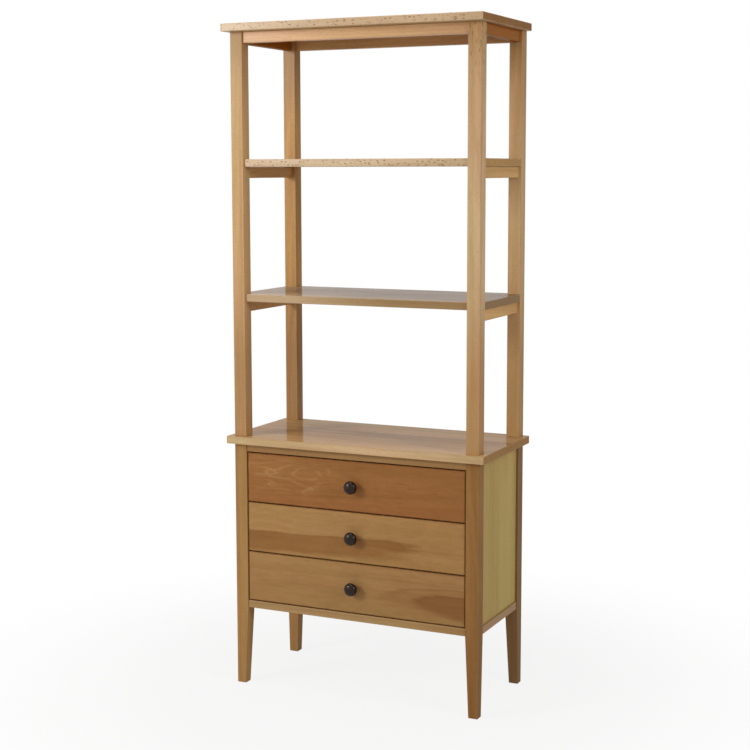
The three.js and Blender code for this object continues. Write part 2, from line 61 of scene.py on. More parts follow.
Colour = tuple[float, float, float, float]
Triple = tuple[float, float, float]
Pair = tuple[float, float]
Socket = bpy.types.NodeSocket
Sockets = tuple[Socket, ...]
ORIGIN = (0.0, 0.0, 0.0)
WHITE = (1.0, 1.0, 1.0, 1.0)
SHARP_FROM = math.radians(35)
EASED_FROM = math.radians(40)
FLAT_BELOW = math.radians(1)
TOUCHING = 1e-5
ON_AXIS = 1e-7
SIDES = ("left", "right")
ENDS = ("front", "back")


def screen(*levels: int) -> Colour:
    """Turn a colour as a screen shows it into linear light.

    Args:
        *levels: Red, green and blue from 0 to 255.

    Returns:
        The linear colour with full alpha.
    """
    shares = [level / 255 for level in levels]
    return (*(share / 12.92 if share <= 0.04045 else ((share + 0.055) / 1.055) ** 2.4
              for share in shares), 1.0)


def gained(colour: Colour, gain: Triple) -> Colour:
    """Multiply each channel of a linear colour and keep its alpha."""
    return (*(channel * factor for channel, factor in zip(colour, gain)), colour[3])


def assign(thing: object, **values: object) -> None:
    """Set several properties of one thing."""
    for name, value in values.items():
        setattr(thing, name, value)


def put_in_scene(name: str, data: bpy.types.ID) -> bpy.types.Object:
    """Put a mesh, a lamp or a camera into the scene.

    Args:
        name: Name of the object.
        data: What the object shows.

    Returns:
        The object.
    """
    thing = bpy.data.objects.new(name, data)
    bpy.context.scene.collection.objects.link(thing)
    return thing


@dataclass(frozen=True)
class Cloud:
    """One layer of noise: its clouds to a metre along each axis, its detail and its swing."""

    rates: Triple
    seed_shift: float = 0.0
    detail: float = 2.0
    roughness: float = 0.5
    gain: float = 1.0


class NodeSheet:
    """Adds nodes to one node tree, with short calls for the kinds that the finishes use."""

    # Where a Mix node keeps its factor and two colours, and where it gives the mixed one.
    mix_inputs = (0, 6, 7)
    mix_output = 2

    def __init__(self, tree: bpy.types.NodeTree) -> None:
        """Take over a node tree and empty it."""
        self.tree = tree
        tree.nodes.clear()

    def feed(self, socket: Socket, value: object) -> None:
        """Link a socket to an input, or set the input to a constant.

        Args:
            socket: The input.
            value: An output socket or a plain value.
        """
        if isinstance(value, Socket):
            self.tree.links.new(value, socket)
        else:
            socket.default_value = value

    def add(self, kind: str, *values: object, **settings: object) -> bpy.types.Node:
        """Add one node.

        Args:
            kind: The node's type name.
            *values: Sockets or constants for its inputs, in order.
            **settings: Properties to set on it.

        Returns:
            The new node.
        """
        node = self.tree.nodes.new(kind)
        assign(node, **settings)
        for socket, value in zip(node.inputs, values):
            self.feed(socket, value)
        return node

    def wire(self, node: bpy.types.Node, values: dict[str, object]) -> bpy.types.Node:
        """Feed some of a node's inputs by name.

        Args:
            node: The node.
            values: Sockets or constants, by the name of the input.

        Returns:
            The same node.
        """
        for name, value in values.items():
            self.feed(node.inputs[name], value)
        return node

    def math(self, operation: str, *values: object, clamp: bool = False) -> Socket:
        """Work out one number from others, kept between 0 and 1 if clamped."""
        return self.add("ShaderNodeMath", *values, operation=operation, use_clamp=clamp).outputs[0]

    def times(self, first: object, second: object) -> Socket:
        """Multiply two numbers."""
        return self.math("MULTIPLY", first, second)

    def vector(self, operation: str, *values: object) -> Socket:
        """Work out a vector from others, or the length of one."""
        node = self.add("ShaderNodeVectorMath", *values, operation=operation)
        return node.outputs["Value" if operation == "LENGTH" else "Vector"]

    def split(self, vector: Socket) -> list[Socket]:
        """Take a vector apart into its three numbers."""
        return list(self.add("ShaderNodeSeparateXYZ", vector).outputs)

    def together(self, *numbers: object) -> Socket:
        """Put three numbers together as a vector."""
        return self.add("ShaderNodeCombineXYZ", *numbers).outputs[0]

    def swing(self, cloud: Socket, gain: float) -> Socket:
        """Centre a cloud on zero and make it swing further."""
        return self.times(self.math("SUBTRACT", cloud, 0.5), gain)

    def ramp(self, value: object, low: object, high: object, start: object = 0.0,
             end: object = 1.0) -> Socket:
        """Turn the range from low to high smoothly into the range from start to end."""
        return self.add("ShaderNodeMapRange", value, low, high, start, end,
                        interpolation_type="SMOOTHSTEP").outputs[0]

    def blend(self, factor: object, first: object, second: object,
              mode: str = "MIX") -> Socket:
        """Mix two colours.

        Args:
            factor: How far to go to the second colour.
            first: The first colour.
            second: The second colour.
            mode: Name of the way to mix.

        Returns:
            The mixed colour.
        """
        node = self.add("ShaderNodeMix", data_type="RGBA", blend_type=mode)
        for place, value in zip(self.mix_inputs, (factor, first, second)):
            self.feed(node.inputs[place], value)
        return node.outputs[self.mix_output]

    def lay(self, mask: Socket, strength: float, under: object, over: object) -> Socket:
        """Lay one colour over another, as far as a mask and a strength say."""
        return self.blend(self.times(mask, strength), under, over)

    def end(self, output: str, shader: bpy.types.Node) -> None:
        """Send a shader to the tree's output."""
        self.add(output, shader.outputs[0])


class MaterialSheet(NodeSheet):
    """The nodes of a new material, in place of what a piece was made of."""

    def __init__(self, title: str, piece: bpy.types.Object) -> None:
        """Make the material and give it to the piece.

        Args:
            title: Name of the finish.
            piece: The object.
        """
        material = bpy.data.materials.new(f"{title}_{piece.name}")
        material.use_nodes = True
        super().__init__(material.node_tree)
        piece.data.materials.clear()
        piece.data.materials.append(material)
        self.place = self.add("ShaderNodeTexCoord").outputs["Object"]

    def finish(self, height: Socket, relief: Pair, inputs: dict[str, object]) -> None:
        """End the material in its surface shader.

        Args:
            height: Where the surface stands high.
            relief: Strength of that relief, and its depth in metres.
            inputs: What goes into the shader's other inputs, by name.
        """
        bump = self.wire(self.add("ShaderNodeBump"),
                         {"Strength": relief[0], "Distance": relief[1], "Height": height})
        surface = self.wire(self.add("ShaderNodeBsdfPrincipled"), inputs)
        self.feed(surface.inputs["Normal"], bump.outputs["Normal"])
        self.end("ShaderNodeOutputMaterial", surface)


class SocketKind(Enum):
    """What passes through a socket of a shader group."""

    NUMBER = "NodeSocketFloat"
    VECTOR = "NodeSocketVector"


class ShaderGroup(NodeSheet):
    """An effect that several finishes share, as a node group with named sockets."""

    takes: dict[str, float | Triple] = {}
    gives: tuple[str, ...] = ("mask",)

    def __init__(self) -> None:
        """Make the group with its sockets, and lay out the nodes inside it."""
        super().__init__(bpy.data.node_groups.new(type(self).__name__, "ShaderNodeTree"))
        new_socket = self.tree.interface.new_socket
        for name, start in self.takes.items():
            kind = SocketKind.VECTOR if isinstance(start, tuple) else SocketKind.NUMBER
            new_socket(name=name, in_out="INPUT", socket_type=kind.value).default_value = start
        for name in self.gives:
            new_socket(name=name, in_out="OUTPUT", socket_type=SocketKind.NUMBER.value)
        entry = self.add("NodeGroupInput").outputs
        self.ins = SimpleNamespace(**{name: entry[name] for name in self.takes})
        self.add("NodeGroupOutput", *self.draw())

    def draw(self) -> Sockets:
        """Lay out the nodes between the group's inputs and what it gives, in order."""
        raise NotImplementedError

    def noise(self, cloud: Cloud, vector: Socket | None = None) -> Socket:
        """Add a layer of noise about one half, with the group's own seed.

        Args:
            cloud: The layer.
            vector: Where on the surface, or None for the group's own place.

        Returns:
            The noise, from 0 to 1.
        """
        vector, seed = self.ins.vector if vector is None else vector, self.ins.seed
        if cloud.seed_shift:
            seed = self.math("ADD", seed, cloud.seed_shift)
        node = self.add("ShaderNodeTexNoise", noise_dimensions="4D")
        self.wire(node, {"Vector": self.vector("MULTIPLY", vector, cloud.rates), "W": seed,
                         "Scale": 1.0, "Detail": cloud.detail, "Roughness": cloud.roughness})
        return node.outputs[0]

    def swung(self, cloud: Cloud) -> Socket:
        """Add a layer of noise that swings about zero."""
        return self.swing(self.noise(cloud), cloud.gain)

    @classmethod
    def place(cls, sheet: NodeSheet, **values: object) -> dict[str, Socket]:
        """Put the group into a material, and build it on its first use.

        Args:
            sheet: The material's nodes.
            **values: Constants or sockets for the group's inputs.

        Returns:
            The group's outputs, by name.
        """
        tree = bpy.data.node_groups.get(cls.__name__) or cls().tree
        node = sheet.wire(sheet.add("ShaderNodeGroup", node_tree=tree), values)
        return {name: node.outputs[name] for name in cls.gives}


class GluedStaves(ShaderGroup):
    """Splits a board across its grain into edge-glued staves, each with wood of its own."""

    takes = {"vector": ORIGIN, "seed": 0.0, "stave_width": 0.07}
    gives = ("stave_seed", "shade", "seam")
    first_seam = 0.37
    seed_step = 7.31
    seam_width = 0.0006

    def draw(self) -> Sockets:
        """Lay out the staves.

        Returns:
            A seed and a shade from 0 to 1 for each stave, and a mask that is 1 on a glue line.
        """
        ins = self.ins
        across = self.split(ins.vector)[1]
        count = self.math("ADD", self.math("DIVIDE", across, ins.stave_width), self.first_seam)
        seed = self.math("MULTIPLY_ADD", self.math("FLOOR", count), self.seed_step, ins.seed)
        shade = self.add("ShaderNodeTexWhiteNoise", noise_dimensions="1D")
        self.feed(shade.inputs["W"], seed)
        side = self.math("ABSOLUTE", self.math("SUBTRACT", self.math("FRACT", count), 0.5))
        gap = self.times(self.math("SUBTRACT", 0.5, side), ins.stave_width)
        return seed, shade.outputs["Value"], self.ramp(gap, self.seam_width, 0.0)


class BeechGrain(ShaderGroup):
    """Growth rings, fibre streaks and a slow drift of tone, for grain that runs along X."""

    takes = {"vector": ORIGIN, "seed": 0.0, "figure": 0.4, "streaks": 0.5, "drift": 0.5,
             "ripple": 0.1}
    gives = ("tone", "warmth", "fibre")
    wander = Cloud((2.2, 9.0, 9.0))
    drift = Cloud((1.5, 7.0, 7.0), 11.3, 1.0, gain=2.8)
    broad = Cloud((1.0, 62.0, 62.0), 23.9, gain=2.4)
    streak = Cloud((4.0, 210.0, 210.0), 37.1, 3.0, 0.6, 1.5)
    fibre = Cloud((42.0, 1100.0, 1100.0), 53.7, gain=0.4)
    ripple = Cloud((19.0, 95.0, 95.0), 61.7, 3.0, 0.6, 2.4)
    hue = Cloud((1.1, 48.0, 48.0), 71.9, 1.5, gain=2.6)
    cast = Cloud((2.0, 9.0, 9.0), 83.3, 1.0, gain=2.2)
    rings = Cloud((0.8, 85.0, 1.0), 97.1, 3.0, 0.6, 3.0)
    ring_bend = 0.04
    ring_relief = -0.3
    pith_reach = 0.07
    pith_lean = 0.09
    reach_turn = 2.1
    lean_turn = 1.3

    def draw(self) -> Sockets:
        """Lay out the grain.

        Returns:
            Tone, from 0 on pale wood to 1 on deep wood, warmth, from 0 on olive wood to 1 on
            rosy wood, and fibre for relief and gloss.
        """
        ins = self.ins
        along, across, deep = self.split(ins.vector)
        pith = []
        for turn, place in (("COSINE", across), ("SINE", deep)):
            reach, lean = (self.times(self.math(turn, self.times(ins.seed, rate)), size)
                           for rate, size in ((self.reach_turn, self.pith_reach),
                                              (self.lean_turn, self.pith_lean)))
            pith.append(self.math("ADD", place, self.math("MULTIPLY_ADD", along, lean, reach)))
        radius = self.vector("LENGTH", self.together(*pith, 0.0))
        bent = self.math("MULTIPLY_ADD", self.noise(self.wander), self.ring_bend, radius)
        rings = self.noise(self.rings, self.together(along, bent, 0.0))
        fibre = self.noise(self.fibre)

        tone = self.math("MULTIPLY_ADD", self.swing(rings, self.rings.gain), ins.figure, 0.5)
        for cloud, strength in ((self.streak, ins.streaks), (self.broad, ins.streaks),
                                (self.drift, ins.drift), (self.ripple, ins.ripple)):
            tone = self.math("MULTIPLY_ADD", self.swung(cloud), strength, tone)
        warmth = self.math("ADD", self.swung(self.hue), self.swung(self.cast))
        return (self.math("ADD", tone, self.swing(fibre, self.fibre.gain), clamp=True),
                self.math("ADD", warmth, 0.5, clamp=True),
                self.math("MULTIPLY_ADD", rings, self.ring_relief, fibre))


class RayFlecks(ShaderGroup):
    """Short dark dashes along the grain."""

    takes = {"vector": ORIGIN, "seed": 0.0, "length": 0.006, "width": 0.0016, "share": 0.4}
    room = 2.6
    seed_shift = (7.31, 3.77, 5.13)
    rim = (0.42, 0.2)
    faintest = 0.4

    def draw(self) -> Sockets:
        """Lay out the flecks.

        Returns:
            A mask that is up to 1 on a fleck.
        """
        ins = self.ins
        length, width = self.times(ins.length, self.room), self.times(ins.width, self.room)
        shift = self.vector("MULTIPLY", self.together(*[ins.seed] * 3), self.seed_shift)
        room = self.together(length, width, width)
        cell = self.vector("ADD", self.vector("DIVIDE", ins.vector, room), shift)
        cells = self.wire(self.add("ShaderNodeTexVoronoi"), {"Vector": cell, "Scale": 1.0})
        near = self.ramp(cells.outputs["Distance"], *self.rim)
        lot, size, _ = self.split(cells.outputs["Color"])
        picked = self.math("LESS_THAN", lot, ins.share)
        weight = self.math("MULTIPLY_ADD", size, 1.0 - self.faintest, self.faintest)
        return (self.times(self.times(near, picked), weight),)


class EndGrain(ShaderGroup):
    """The two sawn ends of a board, with the open pores that show there."""

    takes = {"vector": ORIGIN, "half_length": 0.3, "seed": 0.0}
    gives = ("mask", "pores")
    pores = Cloud((1.0, 420.0, 420.0), detail=3.0, roughness=0.7)
    cut = (0.0009, 0.0002)
    pore_range = (0.4, 0.64)

    def draw(self) -> Sockets:
        """Lay out the ends.

        Returns:
            A mask that is 1 on an end, and the pores, from 0 to 1.
        """
        ins = self.ins
        along = self.math("ABSOLUTE", self.split(ins.vector)[0])
        left = self.math("SUBTRACT", ins.half_length, along)
        pores = self.noise(self.pores)
        return self.ramp(left, *self.cut), self.ramp(pores, *self.pore_range)


class SoftPatch(ShaderGroup):
    """A long round patch of a board, 1 in its middle and fading to 0 at its rim."""

    takes = {"vector": ORIGIN, "centre": ORIGIN, "reach": (0.1, 1.0, 0.04)}
    fade = (1.0, 0.3)

    def draw(self) -> Sockets:
        """Lay out the patch.

        Returns:
            A mask that is 1 in the middle and fades to 0 at the rim.
        """
        away = self.vector("SUBTRACT", self.ins.vector, self.ins.centre)
        share = self.vector("DIVIDE", away, self.ins.reach)
        return (self.ramp(self.vector("LENGTH", share), *self.fade),)


class HeartStain(ShaderGroup):
    """A long patch of darker heartwood, crisp along its upper edge and soft along its lower."""

    takes = {"vector": ORIGIN, "centre": ORIGIN, "half_length": 0.2, "half_height": 0.03,
             "lean": 0.0, "bluntness": 3.0, "seed": 0.0}
    gives = ("mask", "rim")
    wander = Cloud((7.0, 7.0, 34.0), detail=3.0, gain=0.5)
    torn = Cloud((14.0, 14.0, 330.0), detail=3.0, roughness=0.6, gain=0.3)
    soft_to_crisp = (-0.8, 0.5)
    outside = (1.15, 1.0)
    inside = (0.55, 0.9)
    rim_outside = (1.02, 0.96)
    rim_inside = (0.78, 0.92)
    rim_height = (-0.2, 0.6)

    def draw(self) -> Sockets:
        """Lay out the patch.

        Returns:
            A mask that is 1 inside the patch, and one that is 1 just inside its upper edge.
        """
        ins = self.ins
        x, _, z = self.split(self.vector("SUBTRACT", ins.vector, ins.centre))
        level = self.math("SUBTRACT", z, self.times(x, ins.lean))
        height = self.math("DIVIDE", level, ins.half_height)
        length = self.math("DIVIDE", x, ins.half_length)
        powers = (self.math("POWER", self.math("ABSOLUTE", share), ins.bluntness)
                  for share in (height, length))
        root = self.math("DIVIDE", 1.0, ins.bluntness)
        ragged = self.math("POWER", self.math("ADD", *powers), root)
        for cloud in (self.wander, self.torn):
            ragged = self.math("ADD", ragged, self.swung(cloud))
        outside, inside = (self.ramp(height, *self.soft_to_crisp, *ends)
                           for ends in (self.outside, self.inside))
        upper = self.times(self.ramp(ragged, *self.rim_inside),
                           self.ramp(height, *self.rim_height))
        return (self.ramp(ragged, outside, inside),
                self.times(self.ramp(ragged, *self.rim_outside), upper))


class PaleCurls(ShaderGroup):
    """Thin pale arcs of figure that catch the light."""

    takes = {"vector": ORIGIN, "seed": 0.0}
    fold = Cloud((4.6, 4.6, 20.0), roughness=0.4)
    gaps = Cloud((21.0, 21.0, 46.0))
    levels = (0.42, 0.5, 0.58)
    line = (0.008, 0.001)
    glow = (0.03, 0.004, 0.0, 0.35)
    gap_range = (0.4, 0.52)

    def draw(self) -> Sockets:
        """Lay out the curls.

        Returns:
            A mask that is 1 on an arc.
        """
        fold = self.noise(self.fold)
        first, second, third = (self.math("ABSOLUTE", self.math("SUBTRACT", fold, level))
                                for level in self.levels)
        nearest = self.math("MINIMUM", first, self.math("MINIMUM", second, third))
        lit = self.math("MAXIMUM", self.ramp(nearest, *self.line), self.ramp(nearest, *self.glow))
        gaps = self.noise(self.gaps)
        return (self.times(lit, self.ramp(gaps, *self.gap_range)),)


class EasedEdge(ShaderGroup):
    """Where a board's long edges have been rounded, found from the board's box: the mask that
    carries their wear and the light and shade painted along them.
    """

    takes = {"vector": ORIGIN, "middle": ORIGIN, "half_size": (0.1, 0.1, 0.1), "width": 0.003,
             "seed": 0.0}
    wear_and_light_wobble = Cloud((45.0, 45.0, 45.0), detail=4.0, roughness=0.65)
    wear_and_light_widths = (0.3, 0.7, 0.3, 1.5)

    def draw(self) -> Sockets:
        """Lay out the mask.

        Returns:
            A mask that is 1 on an edge and fades to 0 on the faces.
        """
        ins = self.ins
        away = self.vector("ABSOLUTE", self.vector("SUBTRACT", ins.vector, ins.middle))
        x, y, z = self.split(self.vector("SUBTRACT", ins.half_size, away))
        nearer, farther = self.math("MINIMUM", x, y), self.math("MAXIMUM", x, y)
        edge = self.math("MAXIMUM", nearer, self.math("MINIMUM", farther, z))
        wear_and_light_wobble = self.noise(self.wear_and_light_wobble)
        width = self.times(ins.width, self.ramp(wear_and_light_wobble, *self.wear_and_light_widths))
        return (self.ramp(self.math("DIVIDE", edge, width), 1.0, 0.0),)


class ClearLacquer(ShaderGroup):
    """A thin clear film: its roughness, how well it covers, and small brush marks."""

    takes = {"vector": ORIGIN, "seed": 0.0, "fibre": 0.5, "mean_roughness": 0.35,
             "mean_coat": 0.4}
    gives = ("roughness", "coat", "height")
    uneven = Cloud((6.0, 24.0, 24.0), detail=3.0, gain=0.22)
    brush = Cloud((5.0, 260.0, 260.0), gain=0.5)
    fibre_gain = 0.16
    cover = (0.25, 0.75, 1.12, 0.88)

    def draw(self) -> Sockets:
        """Lay out the film.

        Returns:
            Roughness, weight of the coat, and height.
        """
        ins = self.ins
        uneven, brush = self.noise(self.uneven), self.noise(self.brush)
        rough = self.math("ADD", ins.mean_roughness, self.swing(uneven, self.uneven.gain))
        return (self.math("ADD", rough, self.swing(ins.fibre, self.fibre_gain), clamp=True),
                self.times(ins.mean_coat, self.ramp(uneven, *self.cover)),
                self.math("MULTIPLY_ADD", brush, self.brush.gain, ins.fibre))


class MetalWear(ShaderGroup):
    """Mottling of a turned metal surface, with rubbed spots and small pits."""

    takes = {"vector": ORIGIN, "seed": 0.0, "mean_roughness": 0.3}
    gives = ("rubbed", "roughness", "height")
    mottle = Cloud((160.0, 160.0, 160.0), detail=4.0, roughness=0.6, gain=0.3)
    pits = Cloud((1400.0, 1400.0, 1400.0), gain=0.4)
    rubbed_range = (0.5, 0.72)

    def draw(self) -> Sockets:
        """Lay out the wear.

        Returns:
            A mask that is 1 on a rubbed spot, roughness, and height.
        """
        mottle, pits = self.noise(self.mottle), self.noise(self.pits)
        swing = self.swing(mottle, self.mottle.gain)
        return (self.ramp(mottle, *self.rubbed_range),
                self.math("ADD", self.ins.mean_roughness, swing, clamp=True),
                self.math("MULTIPLY_ADD", pits, self.pits.gain, mottle))


class GrainWay(Enum):
    """Which way the grain of a board runs, as the turn that brings it onto X."""

    ALONG_X = (0.0, 0.0, 0.0)
    ALONG_Y = (0.0, 0.0, -math.pi / 2)
    ALONG_Z = (0.0, math.pi / 2, 0.0)


class Plank(Enum):
    """The tones that the boards were sorted by, as each looks on a screen in even light."""

    STRAW = screen(208, 179, 142)
    WHEAT = screen(180, 152, 120)
    HONEY = screen(186, 145, 98)
    ROSY = screen(200, 156, 114)
    TAWNY = screen(190, 149, 100)
    GINGER = screen(178, 136, 84)
    AMBER = screen(169, 128, 79)
    CHESTNUT = screen(160, 107, 59)
    RUSSET = screen(152, 110, 61)
    UMBER = screen(142, 108, 68)
    OLIVE = screen(198, 170, 104)
    CREAM = screen(216, 188, 146)
    BIRCH = screen(208, 180, 134)


@dataclass(frozen=True)
class Ground:
    """What a mark needs to know of the wood that it lies on."""

    sheet: MaterialSheet
    grain_place: Socket
    tone: Socket
    seed: float


@dataclass(frozen=True)
class Stain:
    """One patch of darker heartwood on a board."""

    centre: Triple
    half_length: float
    half_height: float
    lean: float
    bluntness: float
    colour: Colour
    strength: float = 0.9
    pale_gain: Triple = (1.2, 1.2, 1.2)
    deep_gain: Triple = (0.84, 0.80, 0.76)
    rim_gain: Triple = (0.86, 0.82, 0.8)
    rim_strength: float = 0.4

    def paint(self, ground: Ground, wood: Socket) -> Socket:
        """Lay the patch over the wood.

        Args:
            ground: What is known of the board's wood.
            wood: Colour of the wood so far.

        Returns:
            The colour with the patch.
        """
        sheet = ground.sheet
        patch = HeartStain.place(sheet, vector=sheet.place, centre=self.centre,
                                 half_length=self.half_length, half_height=self.half_height,
                                 lean=self.lean, bluntness=self.bluntness, seed=ground.seed)
        heart = sheet.blend(ground.tone, gained(self.colour, self.pale_gain),
                            gained(self.colour, self.deep_gain))
        covered = sheet.lay(patch["mask"], self.strength, wood, heart)
        return sheet.lay(patch["rim"], self.rim_strength, covered,
                         gained(self.colour, self.rim_gain))


@dataclass(frozen=True)
class Patch:
    """A mark that fades out towards the rim of a long round patch."""

    centre: Triple
    reach: Triple

    def mask(self, sheet: MaterialSheet) -> Socket:
        """Make the mask of the patch."""
        return SoftPatch.place(sheet, vector=sheet.place, centre=self.centre,
                               reach=self.reach)["mask"]


@dataclass(frozen=True)
class Curls(Patch):
    """A patch of pale curly figure on a board."""

    colour: Colour
    strength: float = 0.62
    deep_gain: Triple = (0.85, 0.82, 0.78)

    def paint(self, ground: Ground, wood: Socket) -> Socket:
        """Lay the curls over the wood.

        Args:
            ground: What is known of the board's wood.
            wood: Colour of the wood so far.

        Returns:
            The colour with the curls.
        """
        sheet = ground.sheet
        arcs = PaleCurls.place(sheet, vector=sheet.place, seed=ground.seed)["mask"]
        lit = sheet.blend(ground.tone, self.colour, gained(self.colour, self.deep_gain))
        return sheet.lay(sheet.times(self.mask(sheet), arcs), self.strength, wood, lit)


@dataclass(frozen=True)
class Flecks(Patch):
    """A patch of larger dark flecks on a board."""

    length: float
    width: float
    share: float
    colour: Colour
    strength: float
    seed_shift: float = 5.0

    def paint(self, ground: Ground, wood: Socket) -> Socket:
        """Lay the flecks over the wood.

        Args:
            ground: What is known of the board's wood.
            wood: Colour of the wood so far.

        Returns:
            The colour with the flecks.
        """
        sheet = ground.sheet
        dashes = RayFlecks.place(sheet, vector=ground.grain_place,
                                 seed=ground.seed + self.seed_shift, length=self.length,
                                 width=self.width, share=self.share)["mask"]
        return sheet.lay(sheet.times(self.mask(sheet), dashes), self.strength, wood, self.colour)


@dataclass(frozen=True)
class Tint(Patch):
    """A soft stretch of a board made paler or deeper than the rest, used for the wood's own tone
    and for painted light and shade.
    """

    gain: Triple

    def paint(self, ground: Ground, wood: Socket) -> Socket:
        """Change the colour of the board under the patch."""
        changed = ground.sheet.blend(1.0, wood, (*self.gain, 1.0), "MULTIPLY")
        return ground.sheet.blend(self.mask(ground.sheet), wood, changed)


Mark = Stain | Curls | Flecks | Tint


@dataclass(frozen=True)
class BeechFinish:
    """Clear-finished beech: how the grain, the flecks and the film of a kind of board look."""

    pale_gain: Triple = (1.20, 1.24, 1.32)
    deep_gain: Triple = (0.80, 0.74, 0.66)
    olive_gain: Triple = (0.94, 1.05, 0.88)
    rosy_gain: Triple = (1.07, 0.94, 0.98)
    figure: float = 0.35
    streaks: float = 0.45
    drift: float = 0.45
    ripple: float = 0.12
    hue: float = 0.45
    stave_width: float = 0.0
    stave_shade: float = 0.3
    seam_strength: float = 0.4
    fleck_length: float = 0.0036
    fleck_width: float = 0.0008
    fleck_share: float = 0.45
    fleck_strength: float = 0.3
    fleck_gain: Triple = (0.42, 0.34, 0.26)
    end_gain: Triple = (0.66, 0.58, 0.50)
    end_pale_gain: Triple = (0.92, 0.86, 0.78)
    end_strength: float = 0.85
    end_soak: float = 0.8
    # Colour along the eased edges: paler for wear and a painted highlight where they catch the
    # light; on the drawer fronts darker, a painted shadow in the gaps.
    edge_wear_and_light_gain: Triple = (1.16, 1.17, 1.18)
    edge_strength: float = 0.5
    roughness: float = 0.42
    coat: float = 0.45
    coat_roughness: float = 0.24
    relief: Pair = (0.15, 0.0002)

    def dress(self, board: bpy.types.Object, plank: Plank, way: GrainWay, seed: float,
              marks: tuple[Mark, ...] = ()) -> None:
        """Give a board its own piece of beech.

        Args:
            board: The object to dress.
            plank: Tone of its wood.
            way: Which way its grain runs.
            seed: Number that tells this piece of wood from the others.
            marks: Patches of heartwood, figure and flecks, and painted light and shade, on it.
        """
        sheet = MaterialSheet("beech", board)
        low, high = corners(board)
        middle, half = (low + high) / 2, (high - low) / 2
        turned = middle.copy()
        turned.rotate(Euler(way.value))
        grain_place = sheet.add("ShaderNodeMapping", sheet.place, -turned, way.value).outputs[0]
        wood = {"vector": grain_place, "seed": seed}
        own_wood = dict(wood)
        if self.stave_width:
            staves = GluedStaves.place(sheet, **wood, stave_width=self.stave_width)
            own_wood["seed"] = staves["stave_seed"]
        grain = BeechGrain.place(sheet, **own_wood, figure=self.figure, streaks=self.streaks,
                                 drift=self.drift, ripple=self.ripple)
        flecks = RayFlecks.place(sheet, **wood, length=self.fleck_length,
                                 width=self.fleck_width, share=self.fleck_share)
        edge = EasedEdge.place(sheet, vector=sheet.place, middle=middle, half_size=half, seed=seed)
        ends = EndGrain.place(sheet, **wood, half_length=max(half))
        film = ClearLacquer.place(sheet, **wood, fibre=grain["fibre"],
                                  mean_roughness=self.roughness, mean_coat=self.coat)

        tone, base = grain["tone"], plank.value
        if self.stave_width:
            shade = sheet.swing(staves["shade"], 2 * self.stave_shade)
            tone = sheet.math("ADD", tone, shade, clamp=True)
        colour = sheet.blend(tone, gained(base, self.pale_gain), gained(base, self.deep_gain))
        tint = sheet.blend(grain["warmth"], (*self.olive_gain, 1.0), (*self.rosy_gain, 1.0))
        colour = sheet.blend(self.hue, colour, tint, "MULTIPLY")
        for mark in marks:
            colour = mark.paint(Ground(sheet, grain_place, tone, seed), colour)
        dark = gained(base, self.fleck_gain)
        if self.stave_width:
            colour = sheet.lay(staves["seam"], self.seam_strength, colour, dark)
        colour = sheet.lay(flecks["mask"], self.fleck_strength, colour, dark)
        sawn = sheet.blend(ends["pores"], gained(base, self.end_gain),
                           gained(base, self.end_pale_gain))
        colour = sheet.lay(ends["mask"], self.end_strength, colour, sawn)
        # Eased edges: wear with a painted highlight, and a painted shadow on the drawer fronts.
        colour = sheet.lay(edge["mask"], self.edge_strength, colour,
                           gained(base, self.edge_wear_and_light_gain))
        dry = sheet.math("MULTIPLY_ADD", ends["mask"], -self.end_soak, 1.0)
        sheet.finish(film["height"], self.relief, {
            "Base Color": colour, "Roughness": film["roughness"], "Specular IOR Level": 0.0,
            "Coat Weight": sheet.times(film["coat"], dry), "Coat Roughness": self.coat_roughness})


@dataclass(frozen=True)
class MetalFinish:
    """A turned metal fitting with a worn, mottled surface."""

    title: str
    base: Colour
    rubbed: Colour
    roughness: float
    coat: float = 0.0
    coat_roughness: float = 0.15
    relief: Pair = (0.06, 0.0001)

    def dress(self, fitting: bpy.types.Object, seed: float) -> None:
        """Give a fitting its own metal.

        Args:
            fitting: The object to dress.
            seed: Number that tells this fitting from the others.
        """
        sheet = MaterialSheet(self.title, fitting)
        wear = MetalWear.place(sheet, vector=sheet.place, seed=seed,
                               mean_roughness=self.roughness)
        sheet.finish(wear["height"], self.relief, {
            "Base Color": sheet.blend(wear["rubbed"], self.base, self.rubbed),
            "Roughness": wear["roughness"], "Metallic": 1.0,
            "Coat Weight": self.coat, "Coat Roughness": self.coat_roughness})


def corners(piece: bpy.types.Object) -> tuple[Vector, Vector]:
    """Find the lowest and the highest corner of a piece in its own mesh."""
    axes = list(zip(*(vertex.co for vertex in piece.data.vertices)))
    return Vector([min(axis) for axis in axes]), Vector([max(axis) for axis in axes])


def spot(node: str, *shares: float) -> Triple:
    """Find a place in a node's box, as shares of its size along X, Y and Z."""
    low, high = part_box(node)
    return tuple(a + (b - a) * share for a, b, share in zip(low, high, shares))


def ease_edges(board: bpy.types.Object, radius: float) -> None:
    """Round a board's sharp edges without touching its mesh.

    Args:
        board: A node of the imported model.
        radius: How far each edge is rounded.
    """
    add = board.modifiers.new
    assign(add("joined_corners", "WELD"), merge_threshold=TOUCHING)
    assign(add("whole_faces", "DECIMATE"), decimate_type="DISSOLVE", angle_limit=FLAT_BELOW)
    assign(add("eased_edges", "BEVEL"), width=radius, segments=2, limit_method="ANGLE",
           angle_limit=EASED_FROM)
    assign(add("level_faces", "WEIGHTED_NORMAL"), mode="FACE_AREA", weight=100)
    board.data.shade_smooth()


def curve_points(points: list[Pair], steps: int) -> list[Pair]:
    """Walk along a smooth curve that bends towards the points between its ends.

    Args:
        points: The start, the points that pull the curve, and the end.
        steps: How many points are made, without the start.

    Returns:
        The points after the start.
    """
    walked = []
    for step in range(1, steps + 1):
        row = points
        while len(row) > 1:
            row = [tuple(a + (b - a) * step / steps for a, b in zip(first, second))
                   for first, second in zip(row, row[1:])]
        walked.append(row[0])
    return walked


